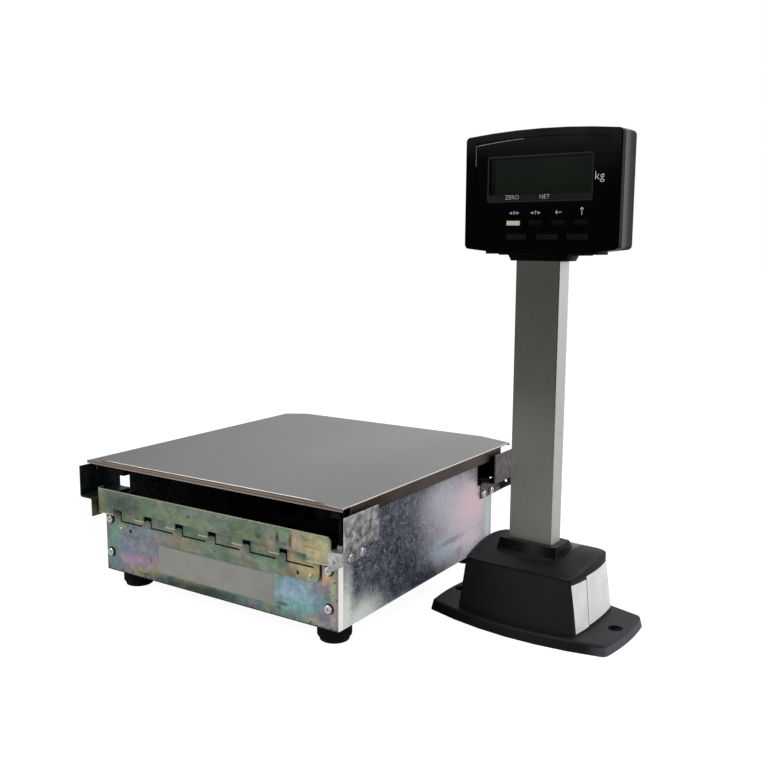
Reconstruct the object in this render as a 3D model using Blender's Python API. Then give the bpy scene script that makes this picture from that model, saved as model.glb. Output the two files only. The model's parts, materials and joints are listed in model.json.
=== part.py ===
"""Counter scale: a sheet-metal weighing unit with a lift-off platter, and a display on its own pole."""

import math

import bmesh
import bpy
from mathutils import Matrix, Vector

# All sizes are in metres. X runs along the front of the scale, Y to the back, Z up from the counter.

# Fits shared by every piece
GAP = 0.0003
SHEET = 0.0015
ROUND_STEPS = 16
CORNER_FULLNESS = 0.32

# Platter
PLATTER_WIDTH = 0.360
PLATTER_DEPTH = 0.3632
PLATTER_SHEET = 0.0015
PLATTER_EDGE_Z = 0.150
PLATTER_RISE = 0.0037
PLATTER_SLOPE = 0.0394
PLATTER_LIP = 0.0032
PLATTER_FLANGE = 0.0135
PLATTER_STEP = 0.0040
FLANGE_FRONT_INSET = 0.0130
FLANGE_REAR_INSET = 0.0250
FLANGE_STEP_LENGTH = 0.0300

# Housing
HOUSING_WIDTH = 0.3323
HOUSING_FRONT = -0.1701
HOUSING_BACK = 0.1612
HOUSING_FLOOR = 0.0208
FRONT_TOP = 0.104
SIDE_TOP = 0.138
SIDE_LIP = 0.010
FRONT_RETURN = 0.009
FOLD_RADIUS = 0.003
WINDOW_INSET = 0.02615
WINDOW_SILL = 0.080
NOTCH_LEFT = 0.029
NOTCH_RIGHT = 0.040
PAN_LIP = 0.012
POST_FRONT_LEG = 0.020
POST_SIDE_LEG = 0.044
POST_TOP = 0.103

# Hook strip and rail
HOOK_COUNT = 6
HOOK_FIRST_INSET = 0.0096
HOOK_LAST_INSET = 0.0070
HOOK_BREAK = 0.0140
HOOK_SLOT = 0.0017
HOOK_SHELF_Z = 0.1000
HOOK_TAB_Z = 0.1075
HOOK_TAB_INSET = 0.0022
STRIP_INSET_LEFT = 0.02015
STRIP_INSET_RIGHT = 0.02095
STRIP_BOTTOM = 0.0668
STRIP_SLOT_Z = 0.0815
STRIP_POST_LOW = 0.0866
STRIP_POST_HIGH = 0.0904
STRIP_POST_PEAK = 0.0085
STRIP_RADIUS = 0.008
STRIP_HOLE_RADIUS = 0.0022
STRIP_HOLE_Z = 0.0732
STRIP_HOLE_INSETS = (0.0244, 0.0268)
STRIP_RIVET_INSETS = (0.0098, 0.0107)
RAIL_INSET_LEFT = 0.00015
RAIL_INSET_RIGHT = 0.00115
RAIL_BOTTOM = 0.0908
RAIL_TOP = 0.1197
RAIL_STANDOFF = 0.0089
RAIL_NOTCH_LEAD = 0.0025
RAIL_NOTCH_TOP = 0.0980
RAIL_RETURN = 0.0090
RAIL_RADIUS = 0.005

# Corner brackets
BRACKET_LENGTH = 0.0582
BRACKET_BEYOND_FRONT = 0.0174
BRACKET_WING = 0.02025
BRACKET_TAB_Z = 0.087
BRACKET_SHELF_Z = 0.107
BRACKET_TOP = 0.1436
BRACKET_GUSSET_DROP = 0.0095
BRACKET_HOLE_INSET = 0.0057

# Screws
SCREW_HEAD_RADIUS = 0.0042
SCREW_HEAD = 0.0024
SCREW_RADIUS = 0.0019
SCREW_LENGTH = 0.0085
SCREW_STEPS = 12
PANEL_SCREW_INSET = 0.01065
PANEL_SCREW_Z = (0.043, 0.082)
BRACKET_SCREW_INSETS = (0.0545, 0.0340)
BRACKET_SCREW_Z = 0.093
RAIL_SCREW_Y_INSET = 0.0045
RAIL_SCREW_Z = 0.0970

# Load cell and platter support
CELL_LENGTH = 0.150
CELL_WIDTH = 0.040
CELL_HEIGHT = 0.038
CELL_HOLE_RADIUS = 0.011
CELL_HOLE_SPACING = 0.034
CELL_SLOT = 0.006
CELL_CLAMP = 0.040
CELL_BOTTOM = 0.062
TOP_BLOCK = 0.024
SUPPORT_THICKNESS = 0.016
SUPPORT_ARM = 0.026
SUPPORT_HUB = 0.056
SUPPORT_END_INSET_X = 0.0520
SUPPORT_END_INSET_Y = 0.0516
SUPPORT_END_RADIUS = 0.017
SUPPORT_SIDE_GAP = 0.003
PAD_RADIUS = 0.011
STOP_RADIUS = 0.006
STOP_GAP = 0.0006

# Levelling feet
FOOT_INSET_X = 0.02415
FOOT_INSET_Y = 0.0276
FOOT_RADIUS = 0.018
FOOT_SOLE = 0.003
FOOT_SOLE_RADIUS = 0.0155
FOOT_FLUTES = 30
FOOT_FLUTE_DEPTH = 0.0007
STUD_RADIUS = 0.004
STUD_TOP = 0.050
NUT_RADIUS = 0.0075
NUT_HEIGHT = 0.0065

# Electronics in the housing
BOARD_INSET_X = 0.07115
BOARD_INSET_Y = 0.0512
BOARD_WIDTH = 0.080
BOARD_DEPTH = 0.060
BOARD_THICKNESS = 0.0016
BOARD_LIFT = 0.008
STANDOFF_RADIUS = 0.003
# Parts on the board: centre and size as shares of the board, height in board thicknesses
BOARD_PARTS = (
    (-0.225, 0.0, 0.225, 0.30, 2.0),
    (0.175, 0.20, 0.15, 0.17, 5.5),
    (0.275, -0.27, 0.175, 0.13, 4.0),
)
SOCKET_Z = 0.048
DATA_SOCKET_INSET = 0.08415
DATA_SOCKET_WIDTH = 0.031
DATA_SOCKET_HEIGHT = 0.0125
POWER_SOCKET_INSET = 0.04815
POWER_SOCKET_RADIUS = 0.006
SOCKET_DEPTH = 0.012
LEVEL_INSET_X = 0.06115
LEVEL_INSET_Y = 0.0512
LEVEL_RADIUS = 0.012
LEVEL_HEIGHT = 0.012

# Display stand, in the display's own frame
DISPLAY_X = 0.2890
DISPLAY_Y = 0.0208
DISPLAY_TURN = math.radians(-3.5)
STAND_HALF_X = 0.1022
STAND_HALF_Y = 0.0490
STAND_BOW = 0.0160
STAND_END_BOW = 0.0040
STAND_CORNER = 0.004
BODY_CORNER = 0.003
COLLAR_CORNER = 0.002
STAND_PLATE_TOP = 0.0108
STAND_PLATE_TAPER = 0.0020
STAND_PLATE_ROUND = 0.0012
STAND_WALL = 0.0025
BODY_HALF_X = 0.0675
BODY_HALF_Y = 0.0475
BODY_BOW = 0.0055
BODY_END_BOW = 0.0030
BODY_TOP = 0.0655
BODY_TOP_HALF_X = 0.0608
BODY_TOP_HALF_Y = 0.0440
BODY_TOP_BOW = 0.0025
BODY_TOP_END_BOW = 0.0045
CAP_RIM = 0.0012
CAP_RIM_SLOPE = 0.075
CAP_RISE = 0.0150
CAP_CROWN_Y = 0.012
COLLAR_TOP = 0.0892
COLLAR_HALF_X = 0.0352
COLLAR_HALF_Y = 0.0205
COLLAR_TOP_HALF_X = 0.0332
COLLAR_TOP_HALF_Y = 0.0165
# Rings of the cap between its rim and the collar: how far in, and how far up to the arch
CAP_RINGS = ((0.03, 0.35), (0.09, 0.65), (0.22, 0.88), (0.45, 1.0), (0.75, 1.0))
STAND_HOLE_INSET = 0.0107
STAND_HOLE_RADIUS = 0.0035
STAND_BORE_RADIUS = 0.0075
STAND_BORE_DEPTH = 0.005
PLATE_LIFT = 0.001
STEEL_PLATE = 0.003

# Column
COLUMN_Y = -0.0050
COLUMN_WIDTH = 0.0496
COLUMN_DEPTH = 0.0220
COLUMN_WALL = 0.0020
COLUMN_CORNER = 0.0015
COLUMN_INTO_HEAD = 0.0032
COLUMN_FOOT = 0.004
COLUMN_PLUG = 0.030

# Display head
HEAD_HALF_X = 0.0853
HEAD_FRONT = -0.0183
HEAD_BACK = 0.0176
HEAD_SPLIT = -0.0100
HEAD_BOTTOM = 0.3928
HEAD_HEIGHT = 0.1130
HEAD_TOP_BOW = 0.0048
HEAD_BOTTOM_BOW = 0.0055
HEAD_CORNER = 0.0035
HEAD_WALL = 0.0022
HEAD_FACE = 0.0034
HEAD_FRONT_ROUND = 0.0010
HEAD_BACK_ROUND = 0.0018
NECK_DROP = 0.0120
NECK_HALF_X = 0.0330
NECK_TOP_HALF_X = 0.0355
NECK_PLUG = 0.0020
NECK_FRONT = -0.0155
NECK_BACK = 0.0090

# Window, keys and glass
LENS_INSET_SIDE = 0.0116
LENS_INSET_BOTTOM = 0.0056
LENS_INSET_TOP = 0.0070
LENS_TOP_BOW = 0.0040
LENS_CORNER = 0.003
LENS_SINK = 0.0009
LENS_THICKNESS = 0.0013
LENS_LEDGE = 0.0030
GLASS_INSET_LEFT = 0.0265
GLASS_INSET_RIGHT = 0.0289
GLASS_INSET_TOP = 0.0212
GLASS_OVER_KEYS = 0.0211
GLASS_BORDER = 0.0016
GLASS_BORDER_BOTTOM = 0.0072
GLASS_CORNER = 0.0028
GLASS_SINK = 0.0020
GLASS_THICKNESS = 0.0028
GLASS_LAP = 0.0008
KEY_FIRST_INSET = 0.0306
KEY_PITCH = 0.02483
KEY_RISE = 0.0257
KEY_WIDTH = 0.0150
KEY_HEIGHT = 0.0046
KEY_PROUD = 0.0005
KEY_LIP = 0.0014
KEY_LIP_THICKNESS = 0.0010
KEY_TRAVEL = 0.0008
KEY_NAMES = ("key_zero", "key_tare", "key_left", "key_up")
HEAD_BOARD_FRONT = -0.0090
HEAD_SCREW_INSET_X = 0.0153
HEAD_SCREW_INSET_Z = 0.014

# Colours, roughness and metallic value of each finish
FINISHES = {
    "stainless": ((0.62, 0.61, 0.60), 0.30, 1.0),
    "galvanised": ((0.60, 0.61, 0.64), 0.38, 1.0),
    "yellow_zinc": ((0.68, 0.68, 0.52), 0.36, 1.0),
    "zinc": ((0.66, 0.67, 0.70), 0.34, 1.0),
    "black_steel": ((0.02, 0.02, 0.02), 0.50, 0.0),
    "cell_alloy": ((0.70, 0.71, 0.72), 0.35, 1.0),
    "column_alloy": ((0.36, 0.37, 0.35), 0.45, 1.0),
    "rubber": ((0.015, 0.015, 0.015), 0.80, 0.0),
    "stand_plastic": ((0.030, 0.031, 0.034), 0.55, 0.0),
    "gloss_plastic": ((0.008, 0.008, 0.010), 0.12, 0.0),
    "head_plastic": ((0.10, 0.10, 0.105), 0.45, 0.0),
    "glass_frame": ((0.13, 0.10, 0.09), 0.35, 0.0),
    "glass": ((0.05, 0.09, 0.07), 0.10, 0.0),
    "key_cap": ((0.70, 0.68, 0.60), 0.40, 0.0),
    "board": ((0.02, 0.16, 0.07), 0.50, 0.0),
}


def clear_scene():
    for thing in list(bpy.data.objects):
        bpy.data.objects.remove(thing)


def finish(name):
    material = bpy.data.materials.get(name)
    if material is None:
        colour, roughness, metallic = FINISHES[name]
        material = bpy.data.materials.new(name)
        material.use_nodes = True
        shader = material.node_tree.nodes["Principled BSDF"]
        shader.inputs["Base Color"].default_value = (*colour, 1.0)
        shader.inputs["Roughness"].default_value = roughness
        shader.inputs["Metallic"].default_value = metallic
        material.diffuse_color = (*colour, 1.0)
    return material


def frame_empty(name, x, y, turn):
    empty = bpy.data.objects.new(name, None)
    empty.location = (x, y, 0.0)
    empty.rotation_euler = (0.0, 0.0, turn)
    bpy.context.scene.collection.objects.link(empty)
    return empty


def make_object(name, shape, parent, finish_name=None, origin=(0.0, 0.0, 0.0)):
    """Turns a bmesh into an object whose origin is at the given point of its parent's frame."""
    bmesh.ops.recalc_face_normals(shape, faces=shape.faces)
    bmesh.ops.translate(shape, vec=-Vector(origin), verts=shape.verts)
    mesh = bpy.data.meshes.new(name)
    shape.to_mesh(mesh)
    shape.free()
    mesh.shade_smooth()
    mesh.set_sharp_from_angle(angle=math.radians(35))
    thing = bpy.data.objects.new(name, mesh)
    bpy.context.scene.collection.objects.link(thing)
    thing.parent = parent
    thing.location = origin
    if finish_name:
        mesh.materials.append(finish(finish_name))
    return thing


def boolean(target, shape, operation):
    """Cuts a helper shape from the target, or joins it on."""
    helper = make_object(f"{target.name}_{operation.lower()}", shape, target.parent)
    helper.hide_render = True
    helper.hide_viewport = True
    helper.display_type = "WIRE"
    modifier = target.modifiers.new(helper.name, "BOOLEAN")
    modifier.operation = operation
    modifier.object = helper
    return modifier


def cut(target, shape):
    return boolean(target, shape, "DIFFERENCE")


def weld(target, shape):
    return boolean(target, shape, "UNION")


def soften(target, width, segments=2, angle=40):
    modifier = target.modifiers.new("softened_edges", "BEVEL")
    modifier.width = width
    modifier.segments = segments
    modifier.limit_method = "ANGLE"
    modifier.angle_limit = math.radians(angle)
    return modifier


def add_box(shape, low, high):
    size = [b - a for a, b in zip(low, high)]
    middle = [(a + b) / 2 for a, b in zip(low, high)]
    matrix = Matrix.Translation(middle) @ Matrix.Diagonal((*size, 1.0))
    bmesh.ops.create_cube(shape, size=1.0, matrix=matrix)


def boxes(*corners):
    shape = bmesh.new()
    for low, high in corners:
        add_box(shape, low, high)
    return shape


AXIS_TURN = {
    "x": Matrix.Rotation(math.radians(90), 4, "Y"),
    "y": Matrix.Rotation(math.radians(-90), 4, "X"),
    "z": Matrix.Identity(4),
}


def add_rod(shape, centre, axis, radius, low, high, steps=ROUND_STEPS):
    """A round bar along an axis; low and high are places on that axis."""
    index = "xyz".index(axis)
    place = list(centre)
    place[index] = (low + high) / 2
    matrix = Matrix.Translation(place) @ AXIS_TURN[axis]
    bmesh.ops.create_cone(
        shape, cap_ends=True, segments=steps, radius1=radius, radius2=radius, depth=high - low, matrix=matrix
    )


def rods(axis, radius, low, high, centres, steps=ROUND_STEPS):
    shape = bmesh.new()
    for centre in centres:
        add_rod(shape, centre, axis, radius, low, high, steps)
    return shape


def extrude_outline(points, axis, low, high, shape=None):
    """A prism: the outline's two coordinates are the axes that remain, in X, Y, Z order."""
    shape = shape or bmesh.new()
    index = "xyz".index(axis)
    ends = []
    for level in (low, high):
        ring = []
        for first, second in points:
            place = [first, second]
            place.insert(index, level)
            ring.append(shape.verts.new(place))
        ends.append(ring)
    loft_rings(shape, ends)
    return shape


def loft_rings(shape, rings):
    """Skins a list of vertex rings and closes both ends."""
    count = len(rings[0])
    for below, above in zip(rings, rings[1:]):
        for i in range(count):
            j = (i + 1) % count
            shape.faces.new((below[i], below[j], above[j], above[i]))
    shape.faces.new(list(reversed(rings[0])))
    shape.faces.new(rings[-1])


def arc(centre_x, centre_y, radius, start, end, steps=4):
    turns = [math.radians(start + (end - start) * i / steps) for i in range(steps + 1)]
    return [(centre_x + radius * math.cos(t), centre_y + radius * math.sin(t)) for t in turns]


def folded_strip(path, thickness, radius, steps=3):
    """The outline of a sheet of even thickness whose middle line is a path with rounded folds."""
    soft = [Vector(path[0])]
    for before, corner, after in zip(path, path[1:], path[2:]):
        corner = Vector(corner)
        into = (Vector(before) - corner).normalized() * radius
        out = (Vector(after) - corner).normalized() * radius
        for i in range(steps + 1):
            t = i / steps
            soft.append(corner + into * (1 - t) ** 2 + out * t**2)
    soft.append(Vector(path[-1]))
    left, right = [], []
    for i, point in enumerate(soft):
        ahead = soft[min(i + 1, len(soft) - 1)]
        behind = soft[max(i - 1, 0)]
        along = (ahead - behind).normalized()
        side = Vector((-along.y, along.x)) * thickness / 2
        left.append(point + side)
        right.append(point - side)
    return [tuple(p) for p in left + right[::-1]]


def bowed_outline(half_x, half_y, bow_y, bow_x, corner, centre=(0.0, 0.0), bow_low=None, steps=6):
    """A rectangle whose sides bulge outwards, with rounded corners. bow_low is for the low Y side."""
    if bow_low is None:
        bow_low = bow_y
    cx, cy = centre
    corners = [Vector((sx * half_x, sy * half_y)) for sx, sy in ((-1, -1), (1, -1), (1, 1), (-1, 1))]
    bulges = [Vector((0, -bow_low)), Vector((bow_x, 0)), Vector((0, bow_y)), Vector((-bow_x, 0))]
    points = []
    for start, end, bulge in zip(corners, corners[1:] + corners[:1], bulges):
        trim = corner / (end - start).length
        for i in range(steps + 1):
            t = trim + (1 - 2 * trim) * i / steps
            points.append(start.lerp(end, t) + bulge * 4 * t * (1 - t))
        both_sides = (points[-1] - end) + bulge_start(end, corner, bulges, corners)
        points.append(end + both_sides * CORNER_FULLNESS)
    return [(p.x + cx, p.y + cy) for p in points]


def bulge_start(end, corner, bulges, corners):
    """The offset from a corner to the first trimmed point of the side that leaves it."""
    index = corners.index(end)
    after = corners[(index + 1) % 4]
    trim = corner / (after - end).length
    return (after - end) * trim + bulges[index] * 4 * trim * (1 - trim)


def loft_outlines(outlines, axis="z"):
    """A solid through outlines at given levels: each entry is (level, points)."""
    shape = bmesh.new()
    index = "xyz".index(axis)
    rings = []
    for level, points in outlines:
        ring = []
        for first, second in points:
            place = [first, second]
            place.insert(index, level)
            ring.append(shape.verts.new(place))
        rings.append(ring)
    loft_rings(shape, rings)
    return shape


def make_screw(frame, name, place, outward):
    """A pan-head screw: place is the middle of the head's underside, outward points from shank to head."""
    profile = [
        (SCREW_RADIUS, -SCREW_LENGTH),
        (SCREW_RADIUS, 0.0),
        (SCREW_HEAD_RADIUS, 0.0),
        (SCREW_HEAD_RADIUS, SCREW_HEAD * 0.45),
        (SCREW_HEAD_RADIUS * 0.70, SCREW_HEAD * 0.90),
        (SCREW_HEAD_RADIUS * 0.35, SCREW_HEAD),
    ]
    turn = Vector((0, 0, 1)).rotation_difference(Vector(outward)).to_matrix()
    shape = bmesh.new()
    rings = []
    for radius, height in profile:
        ring = []
        for i in range(SCREW_STEPS):
            angle = 2 * math.pi * i / SCREW_STEPS
            point = Vector((radius * math.cos(angle), radius * math.sin(angle), height))
            ring.append(shape.verts.new(Vector(place) + turn @ point))
        rings.append(ring)
    loft_rings(shape, rings)
    return make_object(name, shape, frame, "zinc")


# Values worked out from the sizes above
HALF = HOUSING_WIDTH / 2
PAN_HALF = HALF - SHEET - GAP
PAN_FRONT = HOUSING_FRONT + SHEET + GAP
PAN_BACK = HOUSING_BACK - SHEET - GAP
FLOOR_TOP = HOUSING_FLOOR + SHEET
PANEL_SCREW_X = HALF - PANEL_SCREW_INSET
WINDOW_HALF = HALF - WINDOW_INSET
STRIP_LEFT = STRIP_INSET_LEFT - HALF
STRIP_RIGHT = HALF - STRIP_INSET_RIGHT
STRIP_HOLES = (STRIP_LEFT + STRIP_HOLE_INSETS[0], STRIP_RIGHT - STRIP_HOLE_INSETS[1])
STRIP_RIVETS = (STRIP_LEFT + STRIP_RIVET_INSETS[0], STRIP_RIGHT - STRIP_RIVET_INSETS[1])
HOOK_FIRST = STRIP_LEFT + HOOK_FIRST_INSET
HOOK_PITCH = (STRIP_RIGHT + HOOK_LAST_INSET - HOOK_FIRST) / HOOK_COUNT
HOOK_LENGTH = HOOK_PITCH - HOOK_BREAK
RAIL_LEFT = RAIL_INSET_LEFT - HALF
RAIL_RIGHT = HALF - RAIL_INSET_RIGHT
RAIL_NOTCH_FIRST = HOOK_FIRST - RAIL_NOTCH_LEAD
BOARD_X = HALF - BOARD_INSET_X
BOARD_Y = HOUSING_BACK - BOARD_INSET_Y
DATA_SOCKET_X = HALF - DATA_SOCKET_INSET
POWER_SOCKET_X = HALF - POWER_SOCKET_INSET
LEVEL_X = LEVEL_INSET_X - HALF
LEVEL_Y = HOUSING_BACK - LEVEL_INSET_Y
STRIP_BACK = HOUSING_FRONT - GAP
STRIP_FRONT = STRIP_BACK - SHEET
RAIL_BACK = HOUSING_FRONT - RAIL_STANDOFF
RAIL_FRONT = RAIL_BACK - SHEET
TAB_INNER = HALF + GAP
TAB_OUTER = TAB_INNER + SHEET
BRACKET_REACH = HALF + BRACKET_WING
BRACKET_END = BRACKET_BEYOND_FRONT - HOUSING_FRONT
FOOT_X = HALF - FOOT_INSET_X
FOOT_Y = -HOUSING_FRONT - FOOT_INSET_Y
SUPPORT_ROOM_X = HALF - SIDE_LIP - SUPPORT_SIDE_GAP - SUPPORT_END_RADIUS
SUPPORT_END_X = min(PLATTER_WIDTH / 2 - SUPPORT_END_INSET_X, SUPPORT_ROOM_X)
SUPPORT_END_Y = PLATTER_DEPTH / 2 - SUPPORT_END_INSET_Y
STAND_HOLE_X = STAND_HALF_X - STAND_HOLE_INSET
HEAD_TOP = HEAD_BOTTOM + HEAD_HEIGHT
COLUMN_TOP = HEAD_BOTTOM + COLUMN_INTO_HEAD
NECK_BOTTOM = HEAD_BOTTOM - NECK_DROP
LENS_HALF_X = HEAD_HALF_X - LENS_INSET_SIDE
LENS_BOTTOM = HEAD_BOTTOM + LENS_INSET_BOTTOM
LENS_TOP = HEAD_TOP - LENS_INSET_TOP
KEY_Z = HEAD_BOTTOM + KEY_RISE
GLASS_LEFT = GLASS_INSET_LEFT - HEAD_HALF_X
GLASS_RIGHT = HEAD_HALF_X - GLASS_INSET_RIGHT
GLASS_BOTTOM = KEY_Z + GLASS_OVER_KEYS
GLASS_TOP = HEAD_TOP - GLASS_INSET_TOP
KEY_FIRST_X = GLASS_LEFT + KEY_FIRST_INSET
HEAD_SCREW_X = HEAD_HALF_X - HEAD_SCREW_INSET_X
CELL_TOP = CELL_BOTTOM + CELL_HEIGHT
TOP_BLOCK_BOTTOM = CELL_TOP + GAP
SUPPORT_BOTTOM = TOP_BLOCK_BOTTOM + TOP_BLOCK
SUPPORT_TOP = SUPPORT_BOTTOM + SUPPORT_THICKNESS
PLATTER_TOP = PLATTER_EDGE_Z + PLATTER_RISE
PLATTER_UNDER = PLATTER_TOP - PLATTER_SHEET
CLEAR_SCREW = SCREW_RADIUS + GAP
CLEAR_STUD = STUD_RADIUS + GAP
LENS_FRONT = HEAD_FRONT + LENS_SINK
LENS_BACK = LENS_FRONT + LENS_THICKNESS
LEDGE_FRONT = LENS_BACK + GAP


def stand_outline(inset=0.0):
    half_x, half_y = STAND_HALF_X - inset, STAND_HALF_Y - inset
    return bowed_outline(half_x, half_y, STAND_BOW, STAND_END_BOW, STAND_CORNER - inset / 2)


def stand_reach():
    """How far the turned stand reaches to the right of the weighing unit's middle."""
    turn = Matrix.Rotation(DISPLAY_TURN, 2)
    return max((turn @ Vector(point)).x for point in stand_outline()) + DISPLAY_X


# The origin is under the middle of the whole set, so the weighing unit stands to the left of it.
SCALE_X = (BRACKET_REACH - stand_reach()) / 2


def build_base_pan(frame):
    above = POST_TOP + SHEET
    pan = make_object(
        "base_pan", extrude_outline(pan_outline(0.0), "z", HOUSING_FLOOR, POST_TOP), frame, "galvanised"
    )
    cut(pan, extrude_outline(pan_outline(-SHEET), "z", FLOOR_TOP, above))
    lip_top = FLOOR_TOP + PAN_LIP
    leg = PAN_HALF - POST_FRONT_LEG
    cut(pan, boxes(((-leg, PAN_FRONT - SHEET, lip_top), (leg, PAN_BACK + SHEET, above))))
    front_leg = PAN_FRONT + POST_SIDE_LEG
    back_leg = PAN_BACK - POST_SIDE_LEG
    cut(pan, boxes(((-PAN_HALF - SHEET, front_leg, lip_top), (PAN_HALF + SHEET, back_leg, above))))
    nut_top = FLOOR_TOP + NUT_HEIGHT
    weld(pan, rods("z", NUT_RADIUS, HOUSING_FLOOR + SHEET / 2, nut_top, foot_places(), 6))
    cut(pan, rods("z", CLEAR_STUD, HOUSING_FLOOR - SHEET, nut_top + SHEET, foot_places(), 12))
    standoff_top = FLOOR_TOP + BOARD_LIFT
    weld(pan, rods("z", STANDOFF_RADIUS, HOUSING_FLOOR + SHEET / 2, standoff_top, standoff_places(), 8))
    stop_place = [((CELL_LENGTH - CELL_CLAMP) / 2, 0.0, 0.0)]
    weld(pan, rods("z", STOP_RADIUS, HOUSING_FLOOR + SHEET / 2, CELL_BOTTOM - STOP_GAP, stop_place))
    cut(pan, panel_screw_holes("front"))
    cut(pan, panel_screw_holes("back"))
    for side in (-1, 1):
        cut(pan, bracket_screw_holes(side))
    return pan


def pan_outline(grow):
    middle = (PAN_FRONT + PAN_BACK) / 2
    half_y = (PAN_BACK - PAN_FRONT) / 2
    corner = 2 * FOLD_RADIUS
    return bowed_outline(PAN_HALF + grow, half_y + grow, 0.0, 0.0, corner, centre=(0.0, middle), steps=1)


def standoff_places():
    half_w = BOARD_WIDTH / 2 - 2 * STANDOFF_RADIUS
    half_d = BOARD_DEPTH / 2 - 2 * STANDOFF_RADIUS
    return [(BOARD_X + sx * half_w, BOARD_Y + sy * half_d, 0.0) for sx in (-1, 1) for sy in (-1, 1)]


def foot_places():
    return [(x, y, 0.0) for x in (-FOOT_X, FOOT_X) for y in (-FOOT_Y, FOOT_Y)]


def panel_screw_places(face_y):
    return [(x, face_y, z) for x in (-PANEL_SCREW_X, PANEL_SCREW_X) for z in PANEL_SCREW_Z]


def panel_screw_holes(which):
    """Clearance holes through a panel and the post behind it."""
    if which == "front":
        low, high = HOUSING_FRONT - SHEET, HOUSING_FRONT + SCREW_LENGTH
    else:
        low, high = HOUSING_BACK - SCREW_LENGTH, HOUSING_BACK + SHEET
    return rods("y", CLEAR_SCREW, low, high, panel_screw_places(0.0), SCREW_STEPS)


def bracket_screw_places(side):
    places = []
    for end in (-1, 1):
        for inset in BRACKET_SCREW_INSETS:
            y = end * (BRACKET_END - inset)
            places.append((side * (TAB_OUTER + GAP), y, BRACKET_SCREW_Z))
    return places


def bracket_screw_holes(side):
    ends = sorted((side * (TAB_OUTER - SCREW_LENGTH - GAP), side * (TAB_OUTER + SHEET)))
    return rods("x", CLEAR_SCREW, ends[0], ends[1], bracket_screw_places(side), SCREW_STEPS)


def build_front_panel(frame):
    half = HALF - SHEET / 2
    face = HOUSING_FRONT + SHEET / 2
    back = HOUSING_FRONT + FRONT_RETURN
    path = [(-half, back), (-half, face), (half, face), (half, back)]
    outline = folded_strip(path, SHEET, FOLD_RADIUS)
    panel = make_object(
        "front_panel", extrude_outline(outline, "z", HOUSING_FLOOR, FRONT_TOP), frame, "yellow_zinc"
    )
    window = (
        (-WINDOW_HALF, HOUSING_FRONT - SHEET, WINDOW_SILL),
        (WINDOW_HALF, HOUSING_FRONT + 2 * SHEET, FRONT_TOP + SHEET),
    )
    cut(panel, boxes(window))
    cut(panel, panel_screw_holes("front"))
    cut(panel, rivet_holes())
    return panel


def rivet_holes():
    places = [(x, 0.0, STRIP_HOLE_Z) for x in STRIP_RIVETS]
    return rods("y", CLEAR_SCREW, STRIP_FRONT - SHEET, HOUSING_FRONT + 2 * SHEET, places, 12)


def build_side_panel(frame, side, name, notch):
    """A panel with a lip folded inwards along its top, notched at both ends to clear the brackets."""
    low_y = HOUSING_FRONT + FRONT_RETURN + GAP
    middle = side * (HALF - SHEET / 2)
    lip = side * (HALF - SIDE_LIP)
    top = SIDE_TOP - SHEET / 2
    outline = folded_strip([(middle, HOUSING_FLOOR), (middle, top), (lip, top)], SHEET, FOLD_RADIUS)
    panel = make_object(name, extrude_outline(outline, "y", low_y, HOUSING_BACK), frame, "galvanised")
    inner, outer = sorted((side * (HALF - 2 * SIDE_LIP), side * (HALF + SHEET)))
    high = SIDE_TOP + SHEET
    cut(
        panel,
        boxes(
            ((inner, low_y - SHEET, FRONT_TOP), (outer, low_y + notch, high)),
            ((inner, HOUSING_BACK - notch, FRONT_TOP), (outer, HOUSING_BACK + SHEET, high)),
        ),
    )
    cut(panel, bracket_screw_holes(side))
    return panel


def build_back_panel(frame):
    """A flat panel with its top folded inwards, and holes for the two sockets."""
    half = HALF - SHEET - GAP
    middle = HOUSING_BACK - SHEET / 2
    top = FRONT_TOP + SHEET / 2
    outline = folded_strip([(middle, HOUSING_FLOOR), (middle, top), (middle - SIDE_LIP, top)], SHEET, SHEET)
    panel = make_object(
        "back_panel", extrude_outline(outline, "x", -half, half), frame, "galvanised"
    )
    low, high = PAN_BACK - SHEET, HOUSING_BACK + SHEET
    cut(panel, panel_screw_holes("back"))
    cut(panel, rods("y", POWER_SOCKET_RADIUS + GAP, low, high, [(POWER_SOCKET_X, 0.0, SOCKET_Z)]))
    half_w = DATA_SOCKET_WIDTH / 2 + GAP
    half_h = DATA_SOCKET_HEIGHT / 2 + GAP
    cut(
        panel,
        boxes(
            (
                (DATA_SOCKET_X - half_w, low, SOCKET_Z - half_h),
                (DATA_SOCKET_X + half_w, high, SOCKET_Z + half_h),
            )
        ),
    )
    return panel


def hook_slots():
    """The X of each upright slot, at the free end of one hook."""
    return [HOOK_FIRST + HOOK_PITCH * i for i in range(HOOK_COUNT)]


def strip_outline():
    """The strip with its hooks still flat: X and Z of the sheet's middle surface."""
    points = arc(STRIP_LEFT + STRIP_RADIUS, STRIP_BOTTOM + STRIP_RADIUS, STRIP_RADIUS, 180, 270)
    points += arc(STRIP_RIGHT - STRIP_RADIUS, STRIP_BOTTOM + STRIP_RADIUS, STRIP_RADIUS, 270, 360)
    points.append((STRIP_RIGHT, STRIP_POST_HIGH))
    slot_top = STRIP_SLOT_Z + HOOK_SLOT
    for x in reversed(hook_slots()):
        root = x + HOOK_LENGTH
        tip = x + HOOK_SLOT / 2
        if root + STRIP_POST_PEAK < STRIP_RIGHT:
            points.append((root + STRIP_POST_PEAK, STRIP_POST_HIGH))
        points += [(root, STRIP_POST_LOW), (root, HOOK_SHELF_Z), (tip, HOOK_SHELF_Z), (tip, slot_top)]
        points += [(root, slot_top), (root, STRIP_SLOT_Z), (tip - HOOK_SLOT, STRIP_SLOT_Z)]
        points.append((tip - HOOK_SLOT, STRIP_POST_HIGH - HOOK_SLOT / 2))
    points.append((STRIP_LEFT, STRIP_POST_LOW))
    return points


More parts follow.
